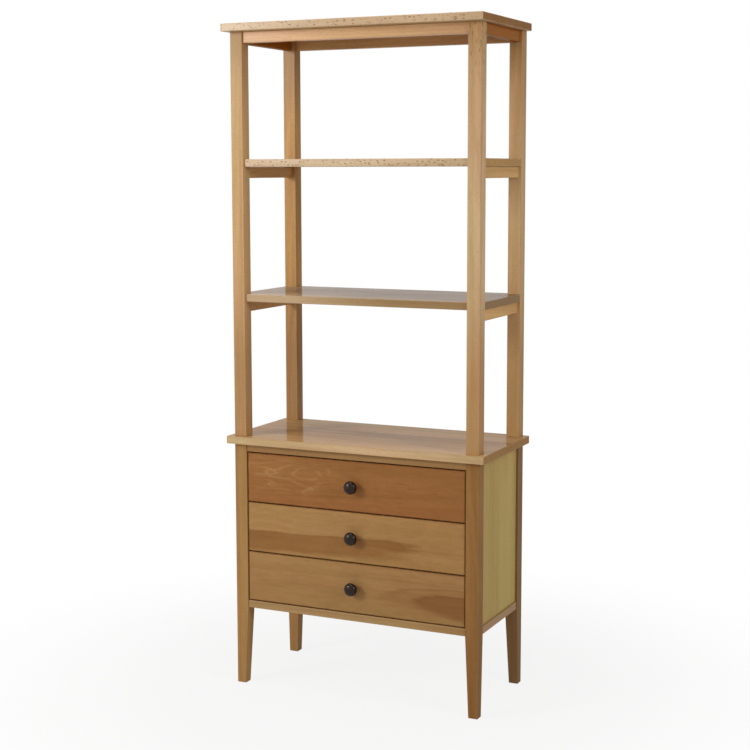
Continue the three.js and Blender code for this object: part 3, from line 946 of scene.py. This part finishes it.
def turn_outline(shape: bmesh.types.BMesh, outline: list[Pair], seat: Vector, forward: Vector,
                 sides: int) -> list[bmesh.types.BMVert]:
    """Turn an outline about an axis.

    Args:
        shape: What the turned form is added to.
        outline: Corners as (radius, distance forward), the first of them on the axis.
        seat: Where the axis starts.
        forward: Which way the axis points.
        sides: How many faces go round.

    Returns:
        The last ring of points, which is one point if the outline ends on the axis.
    """
    across = forward.orthogonal().normalized()
    up = forward.cross(across)
    rings = []
    for radius, distance in outline:
        middle = seat + forward * distance
        if radius < ON_AXIS:
            rings.append([shape.verts.new(middle)])
            continue
        turns = (2 * math.pi * step / sides for step in range(sides))
        rings.append([shape.verts.new(middle + (across * math.cos(turn) + up * math.sin(turn))
                                      * radius) for turn in turns])
    for inner, outer in zip(rings, rings[1:]):
        for step in range(sides):
            after = (step + 1) % sides
            loop = [inner[step % len(inner)], outer[step % len(outer)],
                    outer[after % len(outer)], inner[after % len(inner)]]
            unique = list(dict.fromkeys(loop))
            if len(unique) > 2:
                shape.faces.new(unique)
    return rings[-1]


def new_piece(name: str, shape: bmesh.types.BMesh) -> bpy.types.Object:
    """Make a piece of a finished shape.

    Args:
        name: Name of the piece.
        shape: Its shape, which is used up.

    Returns:
        The piece, in the scene.
    """
    bmesh.ops.recalc_face_normals(shape, faces=shape.faces)
    mesh = bpy.data.meshes.new(name)
    shape.to_mesh(mesh)
    shape.free()
    mesh.shade_smooth()
    mesh.set_sharp_from_angle(angle=SHARP_FROM)
    return put_in_scene(name, mesh)


FRAME_BEECH = BeechFinish(coat=0.18)
RAIL_BEECH = BeechFinish(streaks=0.6)
BOARD_BEECH = BeechFinish(
    fleck_length=0.0045, fleck_width=0.0012, fleck_strength=0.35, fleck_share=0.4,
    stave_width=0.078, stave_shade=0.14, drift=0.3, hue=0.35, roughness=0.4,
    end_gain=(0.34, 0.18, 0.05), end_pale_gain=(0.54, 0.32, 0.10))
UPPER_BEECH = replace(BOARD_BEECH, end_gain=(0.65, 0.48, 0.25), end_pale_gain=(1.00, 0.78, 0.45))
SHELF_BEECH = BeechFinish(fleck_length=0.0045, fleck_width=0.0012, fleck_strength=0.35,
                          stave_width=0.083, hue=0.35, coat=0.42, coat_roughness=0.14)
TOP_BEECH = BeechFinish(stave_width=0.072, stave_shade=0.4, coat=0.36, coat_roughness=0.12,
                        streaks=0.55, hue=0.35)
# The drawer fronts' darkened edges are painted shadow in the gaps between the drawers.
FRONT_BEECH = BeechFinish(streaks=0.25, figure=0.25, drift=0.35, ripple=0.35, hue=0.3,
                          edge_wear_and_light_gain=(0.55, 0.40, 0.28), edge_strength=0.75, coat=0.25)
PANEL_BEECH = BeechFinish(streaks=0.2, figure=0.2, drift=0.3, hue=0.25, coat=0.15)
BOX_BEECH = BeechFinish(streaks=0.3, hue=0.25, coat=0.08, roughness=0.55)
PLYWOOD = BeechFinish(figure=0.35, streaks=0.15, drift=0.3, hue=0.2, coat=0.05, roughness=0.6)
BRONZE = MetalFinish("dark_bronze", screen(32, 21, 14), screen(60, 36, 21), roughness=0.3,
                     coat=0.4, coat_roughness=0.17)
STEEL = MetalFinish("steel", screen(150, 150, 152), screen(190, 190, 190), roughness=0.35)
EDGE_REACH = (2.0, 0.0035, 0.2)
# Reach of the painted light from the left front, laid on the left half of a board.
PAINTED_LIGHT_REACH = (0.8, 0.0035, 0.2)


def front_edge(node: str, gain: Triple, fleck: Colour | None = None) -> tuple[Mark, ...]:
    """Give the front edge of a board a tone of its own (on the base top a painted highlight of the
    eased edge), and flecks where it was cut radially.

    Args:
        node: The board.
        gain: How much paler or deeper each channel is there.
        fleck: Colour of the flecks, or None for none.

    Returns:
        The marks for the board.
    """
    where = (spot(node, 0.5, 0.0, 0.5), EDGE_REACH)
    if fleck is None:
        return (Tint(*where, gain),)
    return Tint(*where, gain), Flecks(*where, length=0.0044, width=0.0018, share=0.6,
                                      colour=fleck, strength=0.85)


def painted_light_left(node: str, gain: Triple) -> Tint:
    """Paint the stronger light from the left front onto a board: its left half paler, fading out
    to the right.
    """
    return Tint(spot(node, 0.0, 0.0, 0.5), PAINTED_LIGHT_REACH, gain)


@dataclass
class Board:
    """One board of the bookcase: its node, its wood and the way of its grain."""

    node: str
    way: GrainWay
    finish: BeechFinish
    plank: Plank
    seed: float
    edge_radius: float = 0.0013
    marks: tuple[Mark, ...] = ()

    def dress(self) -> None:
        """Round the board's edges and give it its wood."""
        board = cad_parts[self.node]
        ease_edges(board, self.edge_radius)
        self.finish.dress(board, self.plank, self.way, self.seed, self.marks)
        log.info("dressed %s", self.node)


@dataclass
class Screw:
    """A steel screw with a cross-shaped recess, turned in place of its plain solid."""

    radius: float = 0.002
    head_radius: float = 0.004
    head_depth: float = 0.0024
    point: float = 0.0002
    flat_share: float = 0.66
    recess_reach: float = 0.0019
    recess_width: float = 0.0009
    recess_depth: float = 0.0013
    recess_taper: float = 0.6
    sides: int = 32
    steps: int = 5
    countersunk: bool = False

    def outline(self, length: float) -> list[Pair]:
        """Draw half of the screw's section, from its point to the flat of its head.

        Args:
            length: From the flat of the head to the point.

        Returns:
            Corners as (radius, distance back from the point).
        """
        seat = length - self.head_depth
        points = [(0.0, 0.0), (self.radius, self.point), (self.radius, seat)]
        if self.countersunk:
            return points + [(self.head_radius, length)]
        shoulder = (self.head_radius, seat)
        flat = (self.head_radius * self.flat_share, length)
        curve = [shoulder, (self.head_radius, length), flat]
        return points + [shoulder] + curve_points(curve, self.steps)

    def recess(self, shape: bmesh.types.BMesh, rim: list[bmesh.types.BMVert],
               inward: Vector) -> None:
        """Close the head with a flat face that has a cross-shaped recess for the driver.

        Args:
            shape: The screw so far.
            rim: Ring of points round the open face.
            inward: Which way the recess goes in.
        """
        middle = sum((vertex.co for vertex in rim), Vector()) / len(rim)
        across = inward.orthogonal().normalized()
        up = inward.cross(across)
        half = self.recess_width / 2
        mouth, floor = [], []
        for turn in range(4):
            for u, v in ((self.recess_reach, -half), (self.recess_reach, half), (half, half)):
                for _ in range(turn):
                    u, v = -v, u
                arm = across * u + up * v
                mouth.append(shape.verts.new(middle + arm))
                floor.append(shape.verts.new(middle + arm * self.recess_taper
                                             + inward * self.recess_depth))
        edges = [shape.edges.new(pair) for pair in zip(mouth, mouth[1:] + mouth[:1])]
        edges += [shape.edges.get(pair) for pair in zip(rim, rim[1:] + rim[:1])]
        bmesh.ops.triangle_fill(shape, use_beauty=True, use_dissolve=False, edges=edges)
        for place, vertex in enumerate(mouth):
            after = (place + 1) % len(mouth)
            shape.faces.new((vertex, mouth[after], floor[after], floor[place]))
        shape.faces.new(floor)

    def build(self, node: str, body: str, back: Vector, seed: float) -> None:
        """Turn the screw and set it in place of its plain solid.

        Args:
            node: The plain solid.
            body: The body that the screw moves with.
            back: Which way its head faces.
            seed: Number that tells this screw from the others.
        """
        low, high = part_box(node)
        half = max(high[axis] - low[axis] for axis in range(3)) / 2
        point = Vector(spot(node, 0.5, 0.5, 0.5)) - back * half
        shape = bmesh.new()
        rim = turn_outline(shape, self.outline(2 * half), point, back, self.sides)
        self.recess(shape, rim, -back)
        piece = new_piece(f"{node}_turned", shape)
        STEEL.dress(piece, seed)
        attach(piece, body)
        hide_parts(node)
        log.info("turned %s", node)


@dataclass
class PanelPins:
    """Small pins that hold the back panel to the back legs and rails."""

    head_radius: float = 0.0016
    proud: float = 0.00025
    rim_share: float = 0.3
    inset: float = 0.0042
    rail_inset: float = 0.010
    pitch: float = 0.105
    sides: int = 14
    steps: int = 4
    seed: float = 5.5

    def along(self, low: float, high: float) -> list[float]:
        """Share out pins evenly between two places, about a pitch apart."""
        count = round((high - low) / self.pitch)
        return [low + (high - low) * step / count for step in range(count + 1)]

    def build(self) -> None:
        """Set all the pins into the back panel, as one piece."""
        low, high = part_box("back_panel")
        left, right = low[0] + self.inset, high[0] - self.inset
        bottom, top = low[2] + self.rail_inset, high[2] - self.rail_inset
        places = [(x, z) for z in (bottom, top) for x in self.along(left, right)]
        places += [(x, z) for x in (left, right) for z in self.along(bottom, top)[1:-1]]
        rim = (self.head_radius, self.proud * self.rim_share)
        outline = [(0.0, -self.proud), (self.head_radius, -self.proud), rim]
        dome = [rim, (self.head_radius, self.proud), (0.0, self.proud)]
        outline += curve_points(dome, self.steps)
        shape = bmesh.new()
        for x, z in places:
            turn_outline(shape, outline, Vector((x, high[1], z)), Vector((0, 1, 0)), self.sides)
        piece = new_piece("back_panel_pins", shape)
        STEEL.dress(piece, self.seed)
        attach(piece, "case")
        log.info("set %d pins into the back panel", len(places))


@dataclass
class Chest:
    """The fixed case of the chest: legs, rails, panels, runners and the base top."""

    drawer_count: int = 3
    screw: Screw = field(default_factory=lambda: Screw(point=0.004, countersunk=True))
    pins: PanelPins = field(default_factory=PanelPins)

    def frame_boards(self) -> Iterator[Board]:
        """Walk through the legs, each from its own plank, and the rails between them.

        Yields:
            Each leg and rail.
        """
        planks = {"front_left": Plank.GINGER, "front_right": Plank.RUSSET,
                  "back_left": Plank.GINGER, "back_right": Plank.UMBER}
        for place, (corner, plank) in enumerate(planks.items()):
            yield Board(f"leg_{corner}", GrainWay.ALONG_Z, FRAME_BEECH, plank, 21.9 + 1.3 * place)
        for place, side in enumerate(SIDES):
            yield Board(f"side_bottom_rail_{side}", GrainWay.ALONG_Y, RAIL_BEECH, Plank.AMBER,
                        16.2 + place)
        for step, end in enumerate(ENDS):
            upper, lower = f"{end}_top_rail", f"{end}_bottom_rail"
            # The lower rail's left half gets painted light from the left front.
            for node, seed, marks in (
                    (upper, 41.3, ()), (lower, 42.3, (painted_light_left(lower, (1.18, 1.36, 1.6)),))):
                yield Board(node, GrainWay.ALONG_X, RAIL_BEECH, Plank.AMBER, seed + 1.7 * step,
                            marks=marks)

    def boards(self) -> Iterator[Board]:
        """Walk through every board of the case.

        Yields:
            Each board.
        """
        # The pale front edge of the base top is a painted highlight where its eased edge catches
        # the light; its left half gets painted light from the left front.
        yield Board("base_top", GrainWay.ALONG_X, TOP_BEECH, Plank.TAWNY, 3.1, 0.0018,
                    (*front_edge("base_top", (1.14, 1.28, 1.56)),
                     painted_light_left("base_top", (1.16, 1.26, 1.30))))
        yield Board("back_panel", GrainWay.ALONG_X, PLYWOOD, Plank.BIRCH, 8.4, 0.0003)
        for place, side in enumerate(SIDES):
            yield Board(f"side_panel_{side}", GrainWay.ALONG_Z, PANEL_BEECH, Plank.OLIVE,
                        12.7 + place)
            for count in range(1, self.drawer_count + 1):
                yield Board(f"drawer_runner_{count}_{side}", GrainWay.ALONG_Y, BOX_BEECH,
                            Plank.CREAM, 30.5 + place + 2.1 * count, 0.0006)
        yield from self.frame_boards()

    def build(self) -> None:
        """Dress the case, turn its screws and set its pins."""
        for board in self.boards():
            board.dress()
        for place, side in enumerate(SIDES):
            for step, end in enumerate(ENDS):
                self.screw.build(f"base_top_screw_{end}_{side}", "case", Vector((0, 0, -1)),
                                 place + 2 * step)
        self.pins.build()
        log.info("the case is dressed")


@dataclass
class Knob:
    """A turned bronze knob with a foot, a waisted neck and a rounded head."""

    radius: float = 0.0182
    projection: float = 0.0307
    widest: float = 0.0185
    foot_radius: float = 0.0095
    foot: float = 0.002
    foot_edge: float = 0.0005
    neck_radius: float = 0.006
    waist: float = 0.0055
    head_foot: float = 0.010
    fullness: float = 0.6
    sides: int = 72
    foot_steps: int = 3
    steps: int = 14

    def outline(self) -> list[Pair]:
        """Draw half of the knob's section.

        Returns:
            Corners as (radius, distance forward).
        """
        shoulder = self.widest + (self.projection - self.widest) * self.fullness
        foot = (self.foot_radius, self.foot - self.foot_edge)
        eased = (self.foot_radius - self.foot_edge, self.foot)
        waist = (self.neck_radius, self.waist)
        rim = (self.radius, self.widest)
        points = [(0.0, 0.0), (self.foot_radius, 0.0), foot]
        for curve, steps in (
                ([foot, (self.foot_radius, self.foot), eased], self.foot_steps),
                ([eased, (self.neck_radius, self.foot), waist], self.steps),
                ([waist, (self.neck_radius, self.head_foot), (self.radius, self.head_foot), rim],
                 self.steps),
                ([rim, (self.radius, shoulder), (self.radius * self.fullness, self.projection),
                  (0.0, self.projection)], 2 * self.steps)):
            points += curve_points(curve, steps)
        return points

    def build(self, drawer: str, seed: float) -> None:
        """Turn the knob and set it in place of its plain solid.

        Args:
            drawer: Name of the drawer's body.
            seed: Number that tells this knob from the others.
        """
        seat = Vector(spot(f"{drawer}_knob", 0.5, 1.0, 0.5))
        shape = bmesh.new()
        turn_outline(shape, self.outline(), seat, Vector((0, -1, 0)), self.sides)
        piece = new_piece(f"{drawer}_turned_knob", shape)
        BRONZE.dress(piece, seed)
        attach(piece, drawer)
        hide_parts(f"{drawer}_knob")
        log.info("turned the knob of %s", drawer)


@dataclass
class Drawer:
    """One drawer: its front, its dovetailed box, its knob and the screw of the knob."""

    number: int
    plank: Plank
    seed: float
    marks: tuple[Mark, ...] = ()
    knob: Knob = field(default_factory=Knob)
    screw: Screw = field(default_factory=Screw)

    def build(self) -> None:
        """Dress the drawer's boards and turn its knob and screw."""
        name = f"drawer_{self.number}"
        Board(f"{name}_front", GrainWay.ALONG_X, FRONT_BEECH, self.plank, self.seed, 0.0015,
              self.marks).dress()
        for part, way, finish, plank, shift, radius in (
                ("back", GrainWay.ALONG_X, BOX_BEECH, Plank.CREAM, 6.1, 0.0005),
                ("bottom", GrainWay.ALONG_X, PLYWOOD, Plank.BIRCH, 7.9, 0.0003),
                ("side_left", GrainWay.ALONG_Y, BOX_BEECH, Plank.CREAM, 3.3, 0.0005),
                ("side_right", GrainWay.ALONG_Y, BOX_BEECH, Plank.CREAM, 4.3, 0.0005)):
            Board(f"{name}_{part}", way, finish, plank, self.seed + shift, radius).dress()
        self.screw.build(f"{name}_knob_screw", name, Vector((0, 1, 0)), self.seed)
        self.knob.build(name, self.seed)


@dataclass
class ShelfUnit:
    """The open unit on the chest: posts, top board, aprons, shelves and shelf rails."""

    edge_fleck: Colour = screen(128, 92, 56)
    post_fleck: Colour = screen(112, 70, 36)
    fleck_length: float = 0.009
    fleck_width: float = 0.0026
    fleck_reach: Triple = (0.2, 0.2, 0.16)
    # Height and reach of the painted sheen of a soft lamp on each post.
    sheen_height: float = 0.6
    sheen_reach: Triple = (0.5, 0.5, 0.5)
    whole_reach: Triple = (2.0, 2.0, 2.0)

    def painted_sheen_stretch(self, end: str, side: str) -> Tint:
        """Place a paler, greyer stretch above the middle of a post: painted sheen, the reflection
        of a soft lamp laid into the wood's colour.
        """
        gains = {"front_left": (1.32, 1.44, 1.54), "front_right": (1.34, 1.62, 2.05),
                 "back_left": (1.28, 1.32, 1.08), "back_right": (1.23, 1.36, 1.58)}
        return Tint(spot(f"post_{end}_{side}", 0.5, 0.5, self.sheen_height),
                    self.sheen_reach, gains[f"{end}_{side}"])

    def toned(self, node: str, gain: Triple) -> Tint:
        """Change the colour of a whole board: its own tone on the side aprons, and painted light
        that brightens the shaded shelf rails.
        """
        return Tint(spot(node, 0.5, 0.5, 0.5), self.whole_reach, gain)

    def top_flecks(self) -> Flecks:
        """Place the flecks that run out towards the top of the right front post."""
        return Flecks(spot("post_front_right", 0.5, 0.0, 1.0), self.fleck_reach,
                      self.fleck_length, self.fleck_width, share=0.6, colour=self.post_fleck,
                      strength=0.8)

    def boards(self) -> Iterator[Board]:
        """Walk through every board of the unit.

        Yields:
            Each board.
        """
        yield Board("top_board", GrainWay.ALONG_X, BOARD_BEECH, Plank.STRAW, 61.3, 0.0018,
                    front_edge("top_board", (0.88, 0.85, 0.80), self.edge_fleck))
        yield Board("shelf_upper", GrainWay.ALONG_X, UPPER_BEECH, Plank.STRAW, 64.9, 0.0015,
                    (painted_light_left("shelf_upper", (1.16, 1.18, 1.28)),
                     *front_edge("shelf_upper", (1.0, 1.0, 1.0), self.edge_fleck)))
        yield Board("shelf_lower", GrainWay.ALONG_X, SHELF_BEECH, Plank.WHEAT, 67.2, 0.0015,
                    (*front_edge("shelf_lower", (1.22, 1.18, 1.10)),
                     # Painted reflection: the right of the lower shelf is darker and warmer, in
                     # place of the weaker reflection of the white surround there.
                     Tint(centre=(0.34, 0.0, 1.09), reach=(0.66, 0.9, 0.2),
                          gain=(0.68, 0.61, 0.48))))
        # For each side: the side apron's own golden tone, and painted light that brightens the
        # shelf rails, whose faces lie in shade.
        tones = {"left": ((1.10, 0.90, 0.36), (1.62, 1.66, 1.56)),
                 "right": ((1.02, 0.79, 0.13), (1.42, 1.45, 1.30))}
        for place, (side, (golden, painted_light_lift)) in enumerate(tones.items()):
            apron = f"apron_{side}"
            yield Board(apron, GrainWay.ALONG_Y, FRAME_BEECH, Plank.CHESTNUT, 71.7 + place,
                        marks=(self.toned(apron, golden),))
            for step, level in enumerate(("upper", "lower")):
                rail = f"shelf_rail_{level}_{side}"
                yield Board(rail, GrainWay.ALONG_Y, FRAME_BEECH, Plank.HONEY,
                            75.1 + place + 2.6 * step, marks=(self.toned(rail, painted_light_lift),))
            for step, end in enumerate(ENDS):
                # Painted sheen of a soft lamp over the middle of the post.
                marks = [self.painted_sheen_stretch(end, side)]
                if (end, side) == ("front", "right"):
                    marks.append(self.top_flecks())
                yield Board(f"post_{end}_{side}", GrainWay.ALONG_Z, FRAME_BEECH, Plank.HONEY,
                            84.4 + place + 2.7 * step, marks=tuple(marks))
        for step, end in enumerate(ENDS):
            apron = f"apron_{end}"
            yield Board(apron, GrainWay.ALONG_X, RAIL_BEECH, Plank.ROSY, 93.8 + step,
                        # The apron's left half gets painted light from the left front.
                        marks=(painted_light_left(apron, (1.24, 1.24, 1.16)),))

    def build(self) -> None:
        """Dress the unit."""
        for board in self.boards():
            board.dress()
        log.info("the shelf unit is dressed")


@dataclass(frozen=True)
class Lamp:
    """One soft lamp of the studio."""

    name: str
    place: Triple
    aim: Triple
    width: float
    height: float
    power: float

    def hang(self) -> None:
        """Add the lamp to the scene."""
        light = bpy.data.lights.new(self.name, "AREA")
        assign(light, shape="RECTANGLE", size=self.width, size_y=self.height, energy=self.power)
        aim = Vector(self.aim) - Vector(self.place)
        assign(put_in_scene(self.name, light), location=self.place, visible_camera=False,
               rotation_euler=aim.to_track_quat("-Z", "Y").to_euler())


@dataclass(frozen=True)
class Viewpoint:
    """Where the camera stands and how it looks, with its angles in degrees."""

    place: Triple
    pitch: float
    roll: float
    yaw: float
    lens: float
    shift: float
    sensor: float = 36.0

    def stand(self) -> None:
        """Add the camera to the scene."""
        data = bpy.data.cameras.new("camera")
        assign(data, lens=self.lens, sensor_width=self.sensor, shift_y=self.shift)
        camera = put_in_scene("camera", data)
        turns = (90 - self.pitch, self.roll, self.yaw)
        assign(camera, location=self.place, rotation_euler=[math.radians(turn) for turn in turns])
        bpy.context.scene.camera = camera


@dataclass
class Studio:
    """A plain pale floor, a white surround and soft lamps."""

    viewpoint: Viewpoint
    lamps: tuple[Lamp, ...]
    floor_reach: float = 20.0
    floor_colour: Colour = screen(205, 203, 200)
    ambient: float = 0.37
    shadow_reach: Pair = (0.4, 1.5)
    shown_floor: float = 0.86

    def background_rays(self, sheet: NodeSheet) -> Socket:
        """Tell the rays that show the white surround from those that light the bookcase.

        Args:
            sheet: The nodes of the floor or the world.

        Returns:
            1 for camera, glossy and transmission rays, else 0.
        """
        camera, glossy, through = (sheet.add("ShaderNodeLightPath").outputs[f"Is {kind} Ray"]
                                   for kind in ("Camera", "Glossy", "Transmission"))
        return sheet.math("ADD", sheet.math("ADD", camera, glossy), through, clamp=True)

    def surround(self) -> None:
        """Make the world white to look at and soft to be lit by."""
        world = bpy.data.worlds.new("surround")
        bpy.context.scene.world = world
        world.use_nodes = True
        sheet = NodeSheet(world.node_tree)
        strength = sheet.math("MULTIPLY_ADD", self.background_rays(sheet), 1.0 - self.ambient,
                              self.ambient)
        sheet.end("ShaderNodeOutputWorld", sheet.add("ShaderNodeBackground", WHITE, strength))

    def floor(self) -> None:
        """Lay a pale floor that looks white away from the bookcase and keeps its shadow."""
        shape = bmesh.new()
        bmesh.ops.create_grid(shape, x_segments=1, y_segments=1, size=self.floor_reach)
        floor = new_piece("floor", shape)
        sheet = MaterialSheet("pale", floor)
        away = sheet.ramp(sheet.vector("LENGTH", sheet.place), *self.shadow_reach,
                          self.shown_floor, 1.0)
        white = sheet.times(self.background_rays(sheet), away)
        plain = sheet.add("ShaderNodeBsdfDiffuse", self.floor_colour).outputs[0]
        glow = sheet.add("ShaderNodeEmission", WHITE).outputs[0]
        sheet.end("ShaderNodeOutputMaterial", sheet.add("ShaderNodeMixShader", white, plain, glow))

    def build(self) -> None:
        """Set up the surround, the floor, the lamps and the camera."""
        bpy.context.scene.view_settings.view_transform = "Standard"
        self.surround()
        self.floor()
        for lamp in self.lamps:
            lamp.hang()
        self.viewpoint.stand()
        log.info("the studio is set up")


def drawers() -> list[Drawer]:
    """List the three drawers, from the top.

    Returns:
        Each drawer with its own front board.
    """
    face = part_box("drawer_1_front")[0][1]
    curls = Curls((-0.190, face, 0.606), (0.250, 1.0, 0.070), screen(196, 148, 96))
    dashes = Flecks((0.130, face, 0.590), (0.200, 1.0, 0.055), length=0.013, width=0.0013,
                    share=0.12, colour=screen(118, 70, 34), strength=0.6)
    deeper = Tint((0.330, face, 0.450), (0.40, 1.0, 0.5), gain=(0.90, 0.88, 0.82))
    band = Stain((-0.210, face, 0.417), half_length=0.395, half_height=0.029, lean=0.03,
                 bluntness=6.0, colour=screen(152, 106, 58))
    halo = Stain((0.330, face, 0.300), half_length=0.250, half_height=0.040, lean=0.0,
                 bluntness=2.0, colour=screen(152, 107, 62), strength=0.45)
    heart = Stain((0.350, face, 0.286), half_length=0.195, half_height=0.036, lean=-0.06,
                  bluntness=2.0, colour=screen(139, 92, 49), strength=0.8)
    return [
        Drawer(1, Plank.CHESTNUT, 101.3, (curls, dashes)),
        Drawer(2, Plank.GINGER, 112.6, (band, deeper)),
        Drawer(3, Plank.AMBER, 123.1, (halo, heart)),
    ]


def studio() -> Studio:
    """Plan the studio.

    Returns:
        The studio with its camera and lamps.
    """
    viewpoint = Viewpoint((1.77094, -3.79179, 1.43863), pitch=6.800, roll=0.105, yaw=25.085,
                          lens=73.49, shift=-0.03)
    lamps = (
        Lamp("key", (-2.25, -2.75, 2.25), (0.0, 0.0, 1.0), width=0.9, height=0.9, power=46.0),
        Lamp("front", (-2.3, -3.3, 1.4), (0.0, 0.0, 1.3), width=1.3, height=1.3, power=12.0),
        Lamp("fill", (2.8, -1.2, 2.1), (0.0, 0.0, 1.0), width=0.5, height=1.0, power=23.0),
        Lamp("overhead", (-0.2, -0.6, 4.0), (0.0, 0.0, 0.6), width=1.2, height=1.2, power=28.0),
    )
    return Studio(viewpoint, lamps)


def main() -> None:
    """Build the studio and dress every part of the bookcase, in order."""
    logging.basicConfig(level=logging.INFO, format="%(name)s: %(message)s")
    studio().build()
    Chest().build()
    for drawer in drawers():
        drawer.build()
    ShelfUnit().build()


if __name__ == "__main__":
    main()
